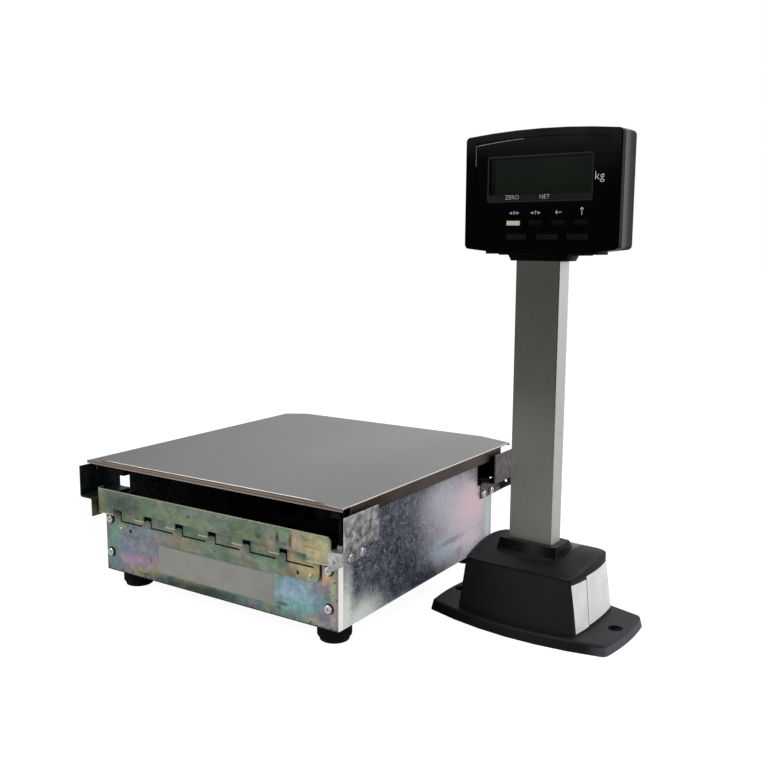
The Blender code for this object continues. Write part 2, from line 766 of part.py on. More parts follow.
def build_hook_strip(frame):
    """One sheet cut into six hooks, each folded forward at the top to meet the back of the rail."""
    middle = STRIP_BACK - SHEET / 2
    tab = RAIL_BACK + GAP + SHEET / 2
    shape = bmesh.new()
    ring = [shape.verts.new((x, middle, z)) for x, z in strip_outline()]
    shape.faces.new(ring)
    shelf = [v for v in ring if abs(v.co.z - HOOK_SHELF_Z) < GAP]
    for right, left in zip(shelf[::2], shelf[1::2]):
        ends = (right.co.x, left.co.x + HOOK_TAB_INSET)
        folded = [shape.verts.new((x, tab, HOOK_SHELF_Z)) for x in ends]
        raised = [shape.verts.new((x, tab, HOOK_TAB_Z)) for x in ends]
        shape.faces.new((right, folded[0], folded[1], left))
        shape.faces.new((folded[0], raised[0], raised[1], folded[1]))
    strip = make_object("hook_strip", shape, frame, "yellow_zinc")
    wall = strip.modifiers.new("wall", "SOLIDIFY")
    wall.thickness = SHEET
    wall.offset = 0.0
    wall.use_even_offset = True
    low, high = STRIP_FRONT - SHEET, STRIP_BACK + SHEET
    holes = [(x, 0.0, STRIP_HOLE_Z) for x in STRIP_HOLES]
    cut(strip, rods("y", STRIP_HOLE_RADIUS, low, high, holes, 10))
    cut(strip, rivet_holes())
    return strip


def build_front_rail(frame):
    """The notched rail, spot welded to the six hooks behind it, with one screw in its folded left end."""
    middle = RAIL_FRONT + SHEET / 2
    left = RAIL_LEFT + SHEET / 2
    path = [(left, RAIL_FRONT + RAIL_RETURN), (left, middle), (RAIL_RIGHT, middle)]
    outline = folded_strip(path, SHEET, 2 * SHEET)
    rail = make_object(
        "front_rail", extrude_outline(outline, "z", RAIL_BOTTOM, RAIL_TOP), frame, "yellow_zinc"
    )
    low, high = RAIL_FRONT - SHEET, RAIL_BACK + SHEET
    notches = bmesh.new()
    for i in range(HOOK_COUNT):
        x = RAIL_NOTCH_FIRST + HOOK_PITCH * i
        bottom = RAIL_BOTTOM - SHEET
        add_box(notches, (x, low, bottom), (x + HOOK_LENGTH, high, RAIL_NOTCH_TOP))
    cut(rail, notches)
    corner = arc(RAIL_RIGHT - RAIL_RADIUS, RAIL_TOP - RAIL_RADIUS, RAIL_RADIUS, 0, 90)
    outside = [(RAIL_RIGHT, RAIL_TOP + SHEET), (RAIL_RIGHT + SHEET, RAIL_TOP + SHEET)]
    outside.append((RAIL_RIGHT + SHEET, RAIL_TOP - RAIL_RADIUS))
    top_left = [(RAIL_RIGHT - RAIL_RADIUS, RAIL_TOP + SHEET)]
    cut(rail, extrude_outline(corner + top_left + outside, "y", low, high))
    cut(rail, rail_screw_hole())
    return rail


def rail_screw_hole():
    place = (0.0, RAIL_FRONT + RAIL_SCREW_Y_INSET, RAIL_SCREW_Z)
    return rods("x", CLEAR_SCREW, -TAB_OUTER - SHEET, RAIL_LEFT + 2 * SHEET, [place], 12)


def build_bracket(frame, side, end, name):
    """A Z-shaped corner bracket: tab against the side panel, shelf outwards, wing upwards."""
    tab = side * (TAB_INNER + SHEET / 2)
    shelf = BRACKET_SHELF_Z + SHEET / 2
    wing = side * (BRACKET_REACH - SHEET / 2)
    path = [(tab, BRACKET_TAB_Z), (tab, shelf), (wing, shelf), (wing, BRACKET_TOP)]
    low, high = sorted((end * BRACKET_END, end * (BRACKET_END - BRACKET_LENGTH)))
    outline = folded_strip(path, SHEET, 1.6 * SHEET)
    bracket = make_object(name, extrude_outline(outline, "y", low, high), frame, "zinc")
    if side > 0:
        inner = TAB_INNER + SHEET / 2
        outer = BRACKET_REACH - SHEET / 2
        gusset = [
            (inner, BRACKET_TAB_Z),
            (outer, BRACKET_SHELF_Z - BRACKET_GUSSET_DROP),
            (outer, shelf),
            (inner, shelf),
        ]
        ends = sorted((end * BRACKET_END, end * (BRACKET_END - SHEET)))
        weld(bracket, extrude_outline(gusset, "y", ends[0], ends[1]))
        hole = (TAB_OUTER + BRACKET_HOLE_INSET, 0.0, BRACKET_SHELF_Z - BRACKET_GUSSET_DROP + SHEET)
        cut(bracket, rods("y", SCREW_RADIUS, ends[0] - SHEET, ends[1] + SHEET, [hole], 12))
    cut(bracket, bracket_screw_holes(side))
    if side < 0 and end < 0:
        cut(bracket, rail_screw_hole())
    return bracket


def build_fasteners(frame):
    for i, place in enumerate(panel_screw_places(HOUSING_FRONT - GAP), 1):
        make_screw(frame, f"front_screw_{i}", place, (0, -1, 0))
    for side, hand in ((-1, "left"), (1, "right")):
        for i, place in enumerate(bracket_screw_places(side), 1):
            make_screw(frame, f"bracket_screw_{hand}_{i}", place, (side, 0, 0))
    place = (-TAB_OUTER - GAP, RAIL_FRONT + RAIL_SCREW_Y_INSET, RAIL_SCREW_Z)
    make_screw(frame, "rail_screw", place, (-1, 0, 0))


def build_load_cell(frame):
    """A single-point cell: its left end is held down on a block, and its right end is free to sink."""
    half = CELL_LENGTH / 2
    half_width = CELL_WIDTH / 2
    clamp = half - CELL_CLAMP
    cell = make_object(
        "load_cell",
        boxes(((-half, -half_width, CELL_BOTTOM), (half, half_width, CELL_TOP))),
        frame,
        "cell_alloy",
    )
    middle = (CELL_BOTTOM + CELL_TOP) / 2
    offset = CELL_HOLE_SPACING / 2
    past = half_width + SHEET
    holes = [(-offset, 0.0, middle), (offset, 0.0, middle)]
    cut(cell, rods("y", CELL_HOLE_RADIUS, -past, past, holes, 24))
    cut(cell, boxes(((-offset, -past, middle - CELL_SLOT / 2), (offset, past, middle + CELL_SLOT / 2))))
    low_block = boxes(
        ((-half, -half_width, FLOOR_TOP + GAP), (-clamp, half_width, CELL_BOTTOM - GAP))
    )
    make_object("cell_base_block", low_block, frame, "cell_alloy")


def support_ends():
    return [(x, y) for x in (-SUPPORT_END_X, SUPPORT_END_X) for y in (-SUPPORT_END_Y, SUPPORT_END_Y)]


def build_platter_support(frame):
    """A black cross with round ends, and a boss below that stands on the free end of the cell."""
    half = SUPPORT_HUB
    cell_end = CELL_LENGTH / 2
    hub = boxes(((-half, -half, SUPPORT_BOTTOM), (cell_end, half, SUPPORT_TOP)))
    support = make_object("platter_support", hub, frame, "black_steel")
    half_width = CELL_WIDTH / 2
    boss_low = (cell_end - CELL_CLAMP, -half_width, TOP_BLOCK_BOTTOM)
    weld(support, boxes((boss_low, (cell_end - SHEET, half_width, SUPPORT_BOTTOM + SHEET))))
    for sign in (-1, 1):
        length = math.hypot(SUPPORT_END_X, SUPPORT_END_Y)
        angle = sign * math.atan2(SUPPORT_END_Y, SUPPORT_END_X)
        arm = boxes(((-length, -SUPPORT_ARM / 2, SUPPORT_BOTTOM), (length, SUPPORT_ARM / 2, SUPPORT_TOP)))
        bmesh.ops.rotate(arm, cent=(0, 0, 0), matrix=Matrix.Rotation(angle, 3, "Z"), verts=arm.verts)
        weld(support, arm)
    ends = [(x, y, 0.0) for x, y in support_ends()]
    weld(support, rods("z", SUPPORT_END_RADIUS, SUPPORT_BOTTOM, SUPPORT_TOP, ends, 20))
    for i, place in enumerate(ends, 1):
        pad = rods("z", PAD_RADIUS, SUPPORT_TOP + GAP, PLATTER_UNDER - GAP, [place])
        make_object(f"support_pad_{i}", pad, frame, "rubber")


def build_platter(frame):
    """Flat in the middle, falling away to the left and right, with all four sides folded down."""
    half_x = PLATTER_WIDTH / 2
    half_y = PLATTER_DEPTH / 2
    crease = half_x - PLATTER_SLOPE
    stations = [
        (-half_x, PLATTER_EDGE_Z),
        (-crease, PLATTER_TOP),
        (crease, PLATTER_TOP),
        (half_x, PLATTER_EDGE_Z),
    ]
    front_flange = -half_y + FLANGE_FRONT_INSET
    step = half_y - FLANGE_REAR_INSET - FLANGE_STEP_LENGTH
    rear_flange = half_y - FLANGE_REAR_INSET
    rows = [-half_y, front_flange, step, rear_flange, half_y]
    shape = bmesh.new()
    grid = [[shape.verts.new((x, y, z)) for x, z in stations] for y in rows]
    for near, far in zip(grid, grid[1:]):
        for i in range(len(stations) - 1):
            shape.faces.new((near[i], near[i + 1], far[i + 1], far[i]))
    lip_z = PLATTER_EDGE_Z - PLATTER_LIP
    for row, y in ((grid[0], -half_y), (grid[-1], half_y)):
        low = [shape.verts.new((vertex.co.x, y, lip_z)) for vertex in row]
        for i in range(len(stations) - 1):
            shape.faces.new((row[i], row[i + 1], low[i + 1], low[i]))
    for column in (0, -1):
        x = stations[column][0]
        deep = PLATTER_EDGE_Z - PLATTER_FLANGE
        shallow = deep + PLATTER_STEP
        front = shape.verts.new((x, front_flange, deep))
        middle = shape.verts.new((x, step, deep))
        raised = shape.verts.new((x, step, shallow))
        rear = shape.verts.new((x, rear_flange, shallow))
        top = [grid[1][column], grid[2][column], grid[3][column]]
        shape.faces.new((top[0], top[1], raised, middle, front))
        shape.faces.new((top[1], top[2], rear, raised))
    bmesh.ops.recalc_face_normals(shape, faces=shape.faces)
    platter = make_object("platter", shape, frame, "stainless")
    if platter.data.polygons[0].normal.z < 0:
        platter.data.flip_normals()
    wall = platter.modifiers.new("wall", "SOLIDIFY")
    wall.thickness = PLATTER_SHEET
    wall.offset = -1
    wall.use_even_offset = True
    return platter


def build_foot(frame, x, y, tag):
    """A fluted knob on a threaded stud, standing on a rubber sole that stays still while the knob turns."""
    sole = rods("z", FOOT_SOLE_RADIUS, 0.0, FOOT_SOLE, [(x, y, 0.0)], 24)
    sole_object = make_object(f"foot_sole_{tag}", sole, frame, "rubber", origin=(x, y, 0.0))
    soften(sole_object, 0.0005, 1)
    low = FOOT_SOLE + GAP
    high = HOUSING_FLOOR - GAP
    ring = []
    for i in range(2 * FOOT_FLUTES):
        radius = FOOT_RADIUS if i % 2 == 0 else FOOT_RADIUS - FOOT_FLUTE_DEPTH
        angle = math.pi * i / FOOT_FLUTES
        ring.append((x + radius * math.cos(angle), y + radius * math.sin(angle)))
    waist = (high - low) * 0.25
    narrow = [(x + (px - x) * 0.9, y + (py - y) * 0.9) for px, py in ring]
    knob = loft_outlines([(low, narrow), (low + waist / 2, ring), (high - waist / 2, ring), (high, narrow)])
    knob_object = make_object(f"foot_knob_{tag}", knob, frame, "black_steel", origin=(x, y, low))
    weld(knob_object, rods("z", STUD_RADIUS, high - SHEET, STUD_TOP, [(x, y, 0.0)], 12))


def build_feet(frame):
    for x, side in ((-FOOT_X, "left"), (FOOT_X, "right")):
        for y, end in ((-FOOT_Y, "front"), (FOOT_Y, "rear")):
            build_foot(frame, x, y, f"{end}_{side}")


def build_electronics(frame):
    half_w, half_d = BOARD_WIDTH / 2, BOARD_DEPTH / 2
    low = FLOOR_TOP + BOARD_LIFT + GAP
    left, right = BOARD_X - half_w, BOARD_X + half_w
    near, far = BOARD_Y - half_d, BOARD_Y + half_d
    board = boxes(((left, near, low), (right, far, low + BOARD_THICKNESS)))
    board_object = make_object("converter_board", board, frame, "board")
    chips = bmesh.new()
    inside = BOARD_THICKNESS / 2
    for across, along, width, depth, height in BOARD_PARTS:
        cx, cy = BOARD_X + across * BOARD_WIDTH, BOARD_Y + along * BOARD_DEPTH
        w, d = width * half_w, depth * half_d
        top = low + (1 + height) * BOARD_THICKNESS
        add_box(chips, (cx - w, cy - d, low + inside), (cx + w, cy + d, top))
    weld(board_object, chips)
    build_sockets(frame)
    seat = FLOOR_TOP + GAP
    vial = rods("z", LEVEL_RADIUS, seat, seat + LEVEL_HEIGHT, [(LEVEL_X, LEVEL_Y, 0.0)], 20)
    holder = make_object("bubble_level", vial, frame, "black_steel")
    soften(holder, 0.001, 1)


def build_sockets(frame):
    inner = HOUSING_BACK - SOCKET_DEPTH
    outer = HOUSING_BACK + SHEET
    half_w, half_h = DATA_SOCKET_WIDTH / 2, DATA_SOCKET_HEIGHT / 2
    left, right = DATA_SOCKET_X - half_w, DATA_SOCKET_X + half_w
    low, high = SOCKET_Z - half_h, SOCKET_Z + half_h
    data = boxes(((left, inner, low), (right, outer, high)))
    data_object = make_object("data_socket", data, frame, "black_steel")
    wall = DATA_SOCKET_HEIGHT / 5
    seat = inner + SOCKET_DEPTH / 2
    cut(data_object, boxes(((left + wall, seat, low + wall), (right - wall, outer + SHEET, high - wall))))
    place = [(POWER_SOCKET_X, 0.0, SOCKET_Z)]
    power = make_object(
        "power_socket", rods("y", POWER_SOCKET_RADIUS, inner, outer, place, 20), frame, "black_steel"
    )
    cut(power, rods("y", POWER_SOCKET_RADIUS * 0.6, inner + SOCKET_DEPTH / 2, outer + SHEET, place, 16))


def body_outline(grow=0.0):
    return bowed_outline(BODY_HALF_X + grow, BODY_HALF_Y + grow, BODY_BOW, BODY_END_BOW, BODY_CORNER)


def body_top_outline(grow=0.0):
    half_x, half_y = BODY_TOP_HALF_X + grow, BODY_TOP_HALF_Y + grow
    return bowed_outline(half_x, half_y, BODY_TOP_BOW, BODY_TOP_END_BOW, BODY_CORNER)


def build_stand(frame):
    """The stand's moulding: a low plate with a tapered body on it, hollow and open above and below."""
    housing = make_object(
        "stand_housing",
        loft_outlines(
            [
                (0.0, stand_outline()),
                (STAND_PLATE_TOP - STAND_PLATE_ROUND, stand_outline(STAND_PLATE_TAPER)),
                (STAND_PLATE_TOP, stand_outline(STAND_PLATE_TAPER + STAND_PLATE_ROUND)),
                (STAND_PLATE_TOP, body_outline()),
                (BODY_TOP, body_top_outline()),
            ]
        ),
        frame,
        "stand_plastic",
    )
    inner_low = body_outline(-STAND_WALL)
    inner_top = body_top_outline(-STAND_WALL)
    cut(
        housing,
        loft_outlines(
            [
                (-SHEET, inner_low),
                (STAND_PLATE_TOP, inner_low),
                (BODY_TOP, inner_top),
                (BODY_TOP + SHEET, inner_top),
            ]
        ),
    )
    holes = [(-STAND_HOLE_X, 0.0, 0.0), (STAND_HOLE_X, 0.0, 0.0)]
    cut(housing, rods("z", STAND_HOLE_RADIUS, -SHEET, STAND_PLATE_TOP, holes))
    bore_floor = STAND_PLATE_TOP - STAND_BORE_DEPTH
    cut(housing, rods("z", STAND_BORE_RADIUS, bore_floor, STAND_PLATE_TOP + SHEET, holes, 20))
    build_stand_inside(frame)
    build_stand_cap(frame)


def build_stand_inside(frame):
    """The steel plate that closes the body from below, and the column with its foot on that plate."""
    plate_low = PLATE_LIFT
    plate_top = plate_low + STEEL_PLATE
    outline = body_outline(-STAND_WALL - GAP)
    make_object(
        "stand_plate", extrude_outline(outline, "z", plate_low, plate_top), frame, "galvanised"
    )
    foot_low = plate_top + GAP
    foot_top = foot_low + COLUMN_FOOT
    wide, deep = COLUMN_WIDTH / 2, COLUMN_DEPTH / 2
    margin = COLUMN_DEPTH / 2
    foot = make_object(
        "column_foot",
        boxes(
            (
                (-wide - margin, COLUMN_Y - deep - margin, foot_low),
                (wide + margin, COLUMN_Y + deep + margin, foot_top),
            )
        ),
        frame,
        "zinc",
    )
    plug = column_outline(-COLUMN_WALL - GAP)
    weld(foot, extrude_outline(plug, "z", foot_top - SHEET, foot_top + COLUMN_PLUG))
    outline = column_outline(0.0)
    column_low = foot_top + GAP
    column = make_object(
        "column", extrude_outline(outline, "z", column_low, COLUMN_TOP), frame, "column_alloy"
    )
    cut(column, extrude_outline(column_outline(-COLUMN_WALL), "z", column_low - SHEET, COLUMN_TOP + SHEET))


def column_outline(grow):
    half_x = COLUMN_WIDTH / 2 + grow
    half_y = COLUMN_DEPTH / 2 + grow
    return bowed_outline(half_x, half_y, 0.0, 0.0, COLUMN_CORNER, centre=(0.0, COLUMN_Y), steps=1)


def collar_outline(half_x, half_y):
    bow = half_y / 8
    return bowed_outline(half_x, half_y, bow, 0.0, COLLAR_CORNER, centre=(0.0, COLUMN_Y))


def cap_surface(y, share):
    """The cap's height: share 0 is its rim, which climbs to the back, and 1 the arch above it."""
    rim = BODY_TOP + GAP + CAP_RIM + CAP_RIM_SLOPE * (y + BODY_TOP_HALF_Y)
    reach = BODY_TOP_HALF_Y + CAP_CROWN_Y
    arch = BODY_TOP + CAP_RIM + CAP_RISE * (1 - ((y - CAP_CROWN_Y) / reach) ** 2)
    return rim + share * (max(arch, rim) - rim)


def cap_rings(shape, sink):
    """Rings from the rim to the collar's foot, all lowered by sink and drawn in by it at the rim."""
    rim = body_top_outline(-sink)
    foot = collar_outline(COLLAR_HALF_X - sink, COLLAR_HALF_Y - sink)
    rings = [[shape.verts.new((x, y, cap_surface(y, 0.0) - sink)) for x, y in rim]]
    for inward, share in CAP_RINGS:
        ring = []
        for (x0, y0), (x1, y1) in zip(rim, foot):
            x, y = x0 + (x1 - x0) * inward, y0 + (y1 - y0) * inward
            ring.append(shape.verts.new((x, y, cap_surface(y, share) - sink)))
        rings.append(ring)
    rings.append([shape.verts.new((x, y, cap_surface(y, 1.0) - sink)) for x, y in foot])
    return rings


def flat_ring(shape, outline, level):
    return [shape.verts.new((x, y, level)) for x, y in outline]


def build_stand_cap(frame):
    """An arched cap on the body, drawn up into a tapered collar round the column."""
    low = BODY_TOP + GAP
    solid = bmesh.new()
    rings = [flat_ring(solid, body_top_outline(), low)] + cap_rings(solid, 0.0)
    rings.append(flat_ring(solid, collar_outline(COLLAR_TOP_HALF_X, COLLAR_TOP_HALF_Y), COLLAR_TOP))
    loft_rings(solid, rings)
    cap = make_object("stand_cap", solid, frame, "stand_plastic")
    hollow = bmesh.new()
    rings = [flat_ring(hollow, body_top_outline(-STAND_WALL), low - 2 * STAND_WALL)]
    rings += cap_rings(hollow, STAND_WALL)
    loft_rings(hollow, rings)
    cut(cap, hollow)
    cut(cap, extrude_outline(column_outline(GAP), "z", BODY_TOP, COLLAR_TOP + SHEET))


def head_outline(inset=0.0):
    """The head seen from the front: X and Z, with bowed top and bottom."""
    middle = (HEAD_BOTTOM + HEAD_TOP) / 2
    half_z = (HEAD_TOP - HEAD_BOTTOM) / 2 - inset
    return bowed_outline(
        HEAD_HALF_X - inset,
        half_z,
        HEAD_TOP_BOW,
        0.0,
        max(HEAD_CORNER - inset, HEAD_CORNER / 3),
        centre=(0.0, middle),
        bow_low=HEAD_BOTTOM_BOW,
    )


def lens_outline(grow=0.0):
    middle = (LENS_BOTTOM + LENS_TOP) / 2
    half_z = (LENS_TOP - LENS_BOTTOM) / 2 + grow
    return bowed_outline(
        LENS_HALF_X + grow, half_z, LENS_TOP_BOW, 0.0, LENS_CORNER, centre=(0.0, middle), bow_low=0.0
    )


def build_head(frame):
    """Front frame and rear shell of the display head, open to each other inside."""
    split_front = HEAD_SPLIT - GAP
    front = make_object(
        "head_front",
        loft_outlines(
            [
                (HEAD_FRONT, head_outline(HEAD_FRONT_ROUND)),
                (HEAD_FRONT + HEAD_FRONT_ROUND, head_outline()),
                (split_front, head_outline()),
            ],
            "y",
        ),
        frame,
        "gloss_plastic",
    )
    cut(
        front,
        extrude_outline(head_outline(HEAD_WALL), "y", HEAD_FRONT + HEAD_FACE, split_front + SHEET),
    )
    cut(front, extrude_outline(lens_outline(GAP), "y", HEAD_FRONT - SHEET, LEDGE_FRONT))
    cut(
        front,
        extrude_outline(lens_outline(-LENS_LEDGE), "y", HEAD_FRONT - SHEET, HEAD_FRONT + HEAD_FACE + SHEET),
    )
    rear = make_object(
        "head_rear",
        loft_outlines(
            [
                (HEAD_SPLIT, head_outline()),
                (HEAD_BACK - HEAD_BACK_ROUND, head_outline()),
                (HEAD_BACK, head_outline(HEAD_BACK_ROUND)),
            ],
            "y",
        ),
        frame,
        "head_plastic",
    )
    back_wall = HEAD_BACK - HEAD_BACK_ROUND - HEAD_WALL
    cut(rear, extrude_outline(head_outline(HEAD_WALL), "y", HEAD_SPLIT - SHEET, back_wall))
    for shell in (front, rear):
        cut(shell, extrude_outline(column_outline(GAP), "z", NECK_BOTTOM, COLUMN_TOP + GAP))
        cut(shell, extrude_outline(neck_outline(GAP), "z", NECK_BOTTOM, HEAD_BOTTOM - NECK_PLUG + GAP))
    cut(rear, rods("y", CLEAR_SCREW, HEAD_SPLIT, HEAD_BACK + SHEET, head_screw_places(), 12))
    build_neck(frame)


def head_screw_places():
    levels = (HEAD_BOTTOM + HEAD_SCREW_INSET_Z, HEAD_TOP - HEAD_SCREW_INSET_Z)
    return [(x, 0.0, z) for x in (-HEAD_SCREW_X, HEAD_SCREW_X) for z in levels]


def neck_outline(grow=0.0):
    middle = (NECK_FRONT + NECK_BACK) / 2
    half_y = (NECK_BACK - NECK_FRONT) / 2 + grow
    return bowed_outline(
        NECK_TOP_HALF_X + grow, half_y, 0.0, 0.0, COLUMN_CORNER, centre=(0.0, middle), steps=1
    )


def build_neck(frame):
    """The tapered skirt under the head, through which the column enters."""
    middle = (NECK_FRONT + NECK_BACK) / 2
    half_y = (NECK_BACK - NECK_FRONT) / 2
    top = HEAD_BOTTOM - NECK_PLUG
    foot = bowed_outline(
        NECK_HALF_X, half_y - SHEET, 0.0, 0.0, COLUMN_CORNER, centre=(0.0, middle), steps=1
    )
    skirt = loft_outlines([(NECK_BOTTOM, foot), (top, neck_outline())])
    neck = make_object("neck_skirt", skirt, frame, "gloss_plastic")
    cut(neck, extrude_outline(column_outline(GAP), "z", NECK_BOTTOM - SHEET, top + SHEET))


def key_places():
    return [KEY_FIRST_X + KEY_PITCH * i for i in range(len(KEY_NAMES))]


def key_openings(low, high):
    shape = bmesh.new()
    half_w, half_h = KEY_WIDTH / 2 + GAP, KEY_HEIGHT / 2 + GAP
    for x in key_places():
        add_box(shape, (x - half_w, low, KEY_Z - half_h), (x + half_w, high, KEY_Z + half_h))
    return shape


def pane_outline(grow=0.0):
    centre = ((GLASS_LEFT + GLASS_RIGHT) / 2, (GLASS_BOTTOM + GLASS_TOP) / 2)
    half_x, half_z = (GLASS_RIGHT - GLASS_LEFT) / 2 + grow, (GLASS_TOP - GLASS_BOTTOM) / 2 + grow
    return bowed_outline(half_x, half_z, 0.0, 0.0, GLASS_CORNER + grow, centre=centre, steps=1)


def build_window(frame):
    """The glossy face plate, the frame and glass of the liquid crystal, and the four keys."""
    lens = make_object(
        "face_plate", extrude_outline(lens_outline(), "y", LENS_FRONT, LENS_BACK), frame, "gloss_plastic"
    )
    low, high = LENS_FRONT - SHEET, LENS_BACK + SHEET
    cut(lens, key_openings(low, high))
    cut(lens, extrude_outline(pane_outline(GAP), "y", low, high))
    board_front = HEAD_BOARD_FRONT
    pane = extrude_outline(pane_outline(), "y", LENS_FRONT, board_front - GAP)
    pane_frame = make_object("lcd_frame", pane, frame, "glass_frame")
    view = (
        (GLASS_LEFT + GLASS_BORDER, GLASS_BOTTOM + GLASS_BORDER_BOTTOM),
        (GLASS_RIGHT - GLASS_BORDER, GLASS_TOP - GLASS_BORDER),
    )
    glass_front = LENS_FRONT + GLASS_SINK
    cut(
        pane_frame,
        boxes(((view[0][0], low, view[0][1]), (view[1][0], board_front, view[1][1]))),
    )
    lap = GLASS_LAP
    pocket = boxes(
        (
            (view[0][0] - lap, glass_front - GAP, view[0][1] - lap),
            (view[1][0] + lap, board_front, view[1][1] + lap),
        )
    )
    cut(pane_frame, pocket)
    room = lap - GAP
    glass = boxes(
        (
            (view[0][0] - room, glass_front, view[0][1] - room),
            (view[1][0] + room, glass_front + GLASS_THICKNESS, view[1][1] + room),
        )
    )
    make_object("lcd_glass", glass, frame, "glass")
    board = boxes(
        (
            (-LENS_HALF_X, board_front, LENS_BOTTOM + LENS_LEDGE),
            (LENS_HALF_X, board_front + BOARD_THICKNESS, LENS_TOP - LENS_LEDGE),
        )
    )
    make_object("display_board", board, frame, "board")
    build_keys(frame)


def build_keys(frame):
    half_w, half_h = KEY_WIDTH / 2, KEY_HEIGHT / 2
    front = LENS_FRONT - KEY_PROUD
    lip_front = LENS_BACK + GAP
    back = HEAD_BOARD_FRONT - GAP - KEY_TRAVEL
    for name, x in zip(KEY_NAMES, key_places()):
        cap = boxes(((x - half_w, front, KEY_Z - half_h), (x + half_w, back, KEY_Z + half_h)))
        key = make_object(name, cap, frame, "key_cap", origin=(x, front, KEY_Z))
        lip = boxes(
            (
                (x - half_w - KEY_LIP, lip_front, KEY_Z - half_h - KEY_LIP),
                (x + half_w + KEY_LIP, lip_front + KEY_LIP_THICKNESS, KEY_Z + half_h + KEY_LIP),
            )
        )
        weld(key, lip)


def build_weighing_unit():
    frame = frame_empty("weighing_unit", SCALE_X, 0.0, 0.0)
    build_base_pan(frame)
    build_front_panel(frame)
    build_side_panel(frame, -1, "side_panel_left", NOTCH_LEFT)
    build_side_panel(frame, 1, "side_panel_right", NOTCH_RIGHT)
    build_back_panel(frame)
    build_hook_strip(frame)
    build_front_rail(frame)
    for side, hand in ((-1, "left"), (1, "right")):
        for end, place in ((-1, "front"), (1, "rear")):
            build_bracket(frame, side, end, f"bracket_{place}_{hand}")
    build_fasteners(frame)
    build_load_cell(frame)
    build_platter_support(frame)
    build_platter(frame)
    build_feet(frame)
    build_electronics(frame)


def build_display():
    frame = frame_empty("display_stand", SCALE_X + DISPLAY_X, DISPLAY_Y, DISPLAY_TURN)
    build_stand(frame)
    build_head(frame)
    build_window(frame)


def main():
    clear_scene()
    build_weighing_unit()
    build_display()


main()
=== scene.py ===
"""Finishes, small fittings, camera and light for the counter scale and its pole display."""

import json
import math

import bmesh
import bpy
from mathutils import Matrix, Vector


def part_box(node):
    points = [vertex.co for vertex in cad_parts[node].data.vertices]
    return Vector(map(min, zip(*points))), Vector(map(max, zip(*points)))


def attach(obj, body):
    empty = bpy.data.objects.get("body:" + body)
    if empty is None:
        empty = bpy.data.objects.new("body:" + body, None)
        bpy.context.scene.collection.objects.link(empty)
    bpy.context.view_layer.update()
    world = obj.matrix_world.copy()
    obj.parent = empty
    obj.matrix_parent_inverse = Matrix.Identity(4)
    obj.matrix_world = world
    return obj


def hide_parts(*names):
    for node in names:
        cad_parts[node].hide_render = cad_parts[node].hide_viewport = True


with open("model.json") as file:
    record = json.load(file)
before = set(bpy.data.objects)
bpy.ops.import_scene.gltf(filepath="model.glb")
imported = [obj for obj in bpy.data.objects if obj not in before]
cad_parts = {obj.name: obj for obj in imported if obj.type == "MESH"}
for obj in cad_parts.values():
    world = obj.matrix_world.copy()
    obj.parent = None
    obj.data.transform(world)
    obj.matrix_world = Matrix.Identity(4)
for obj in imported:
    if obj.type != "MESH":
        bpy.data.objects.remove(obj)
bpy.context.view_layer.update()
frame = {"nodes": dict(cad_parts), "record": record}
NODES = frame["nodes"]

MM = 0.001
IMAGE_SIZE = 762
SENSOR = 36.0
FOCAL_PIXELS = 930.7

# The middle of the platter is the middle of the weighing unit.
PLATTER_LOW, PLATTER_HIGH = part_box("platter")
UNIT_X = (PLATTER_LOW.x + PLATTER_HIGH.x) / 2
PLATTER_TOP = PLATTER_HIGH.z
PANEL_LOW, PANEL_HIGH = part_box("front_panel")
SIDE_X = PANEL_HIGH.x
FRONT_Y = PANEL_LOW.y
BACK_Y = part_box("back_panel")[1].y

# The display stands by itself, turned a little to the right.
DISPLAY_TURN = math.radians(-3.5)
COLUMN_LOW, COLUMN_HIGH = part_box("column")
COLUMN_LOCAL_Y = -5.0 * MM
DISPLAY_ORIGIN = (COLUMN_LOW + COLUMN_HIGH) / 2
DISPLAY_ORIGIN.z = 0.0
DISPLAY_ORIGIN += Vector((math.sin(DISPLAY_TURN), -math.cos(DISPLAY_TURN), 0.0)) * COLUMN_LOCAL_Y
DISPLAY_FRAME = Matrix.Translation(DISPLAY_ORIGIN) @ Matrix.Rotation(DISPLAY_TURN, 4, "Z")
DISPLAY_RIGHT = DISPLAY_FRAME.to_3x3() @ Vector((1.0, 0.0, 0.0))
DISPLAY_BACK = DISPLAY_FRAME.to_3x3() @ Vector((0.0, 1.0, 0.0))
UNIT_FRAME = Matrix.Translation((UNIT_X, 0.0, 0.0))
FACE_Y = -17.4 * MM
SHEET = 1.5 * MM

# Camera, found from the straight edges of the object
CAMERA_PLACE = Vector((671.0, -871.6, 396.3)) * MM
CAMERA_RIGHT = Vector((0.83774, 0.54604, 0.00537))
CAMERA_UP = Vector((-0.08367, 0.11864, 0.98941))


def screen(red, green, blue):
    """A screen colour, 0 to 255, as linear light."""
    out = []
    for value in (red, green, blue):
        value /= 255
        out.append(value / 12.92 if value <= 0.04045 else ((value + 0.055) / 1.055) ** 2.4)
    return (*out, 1.0)


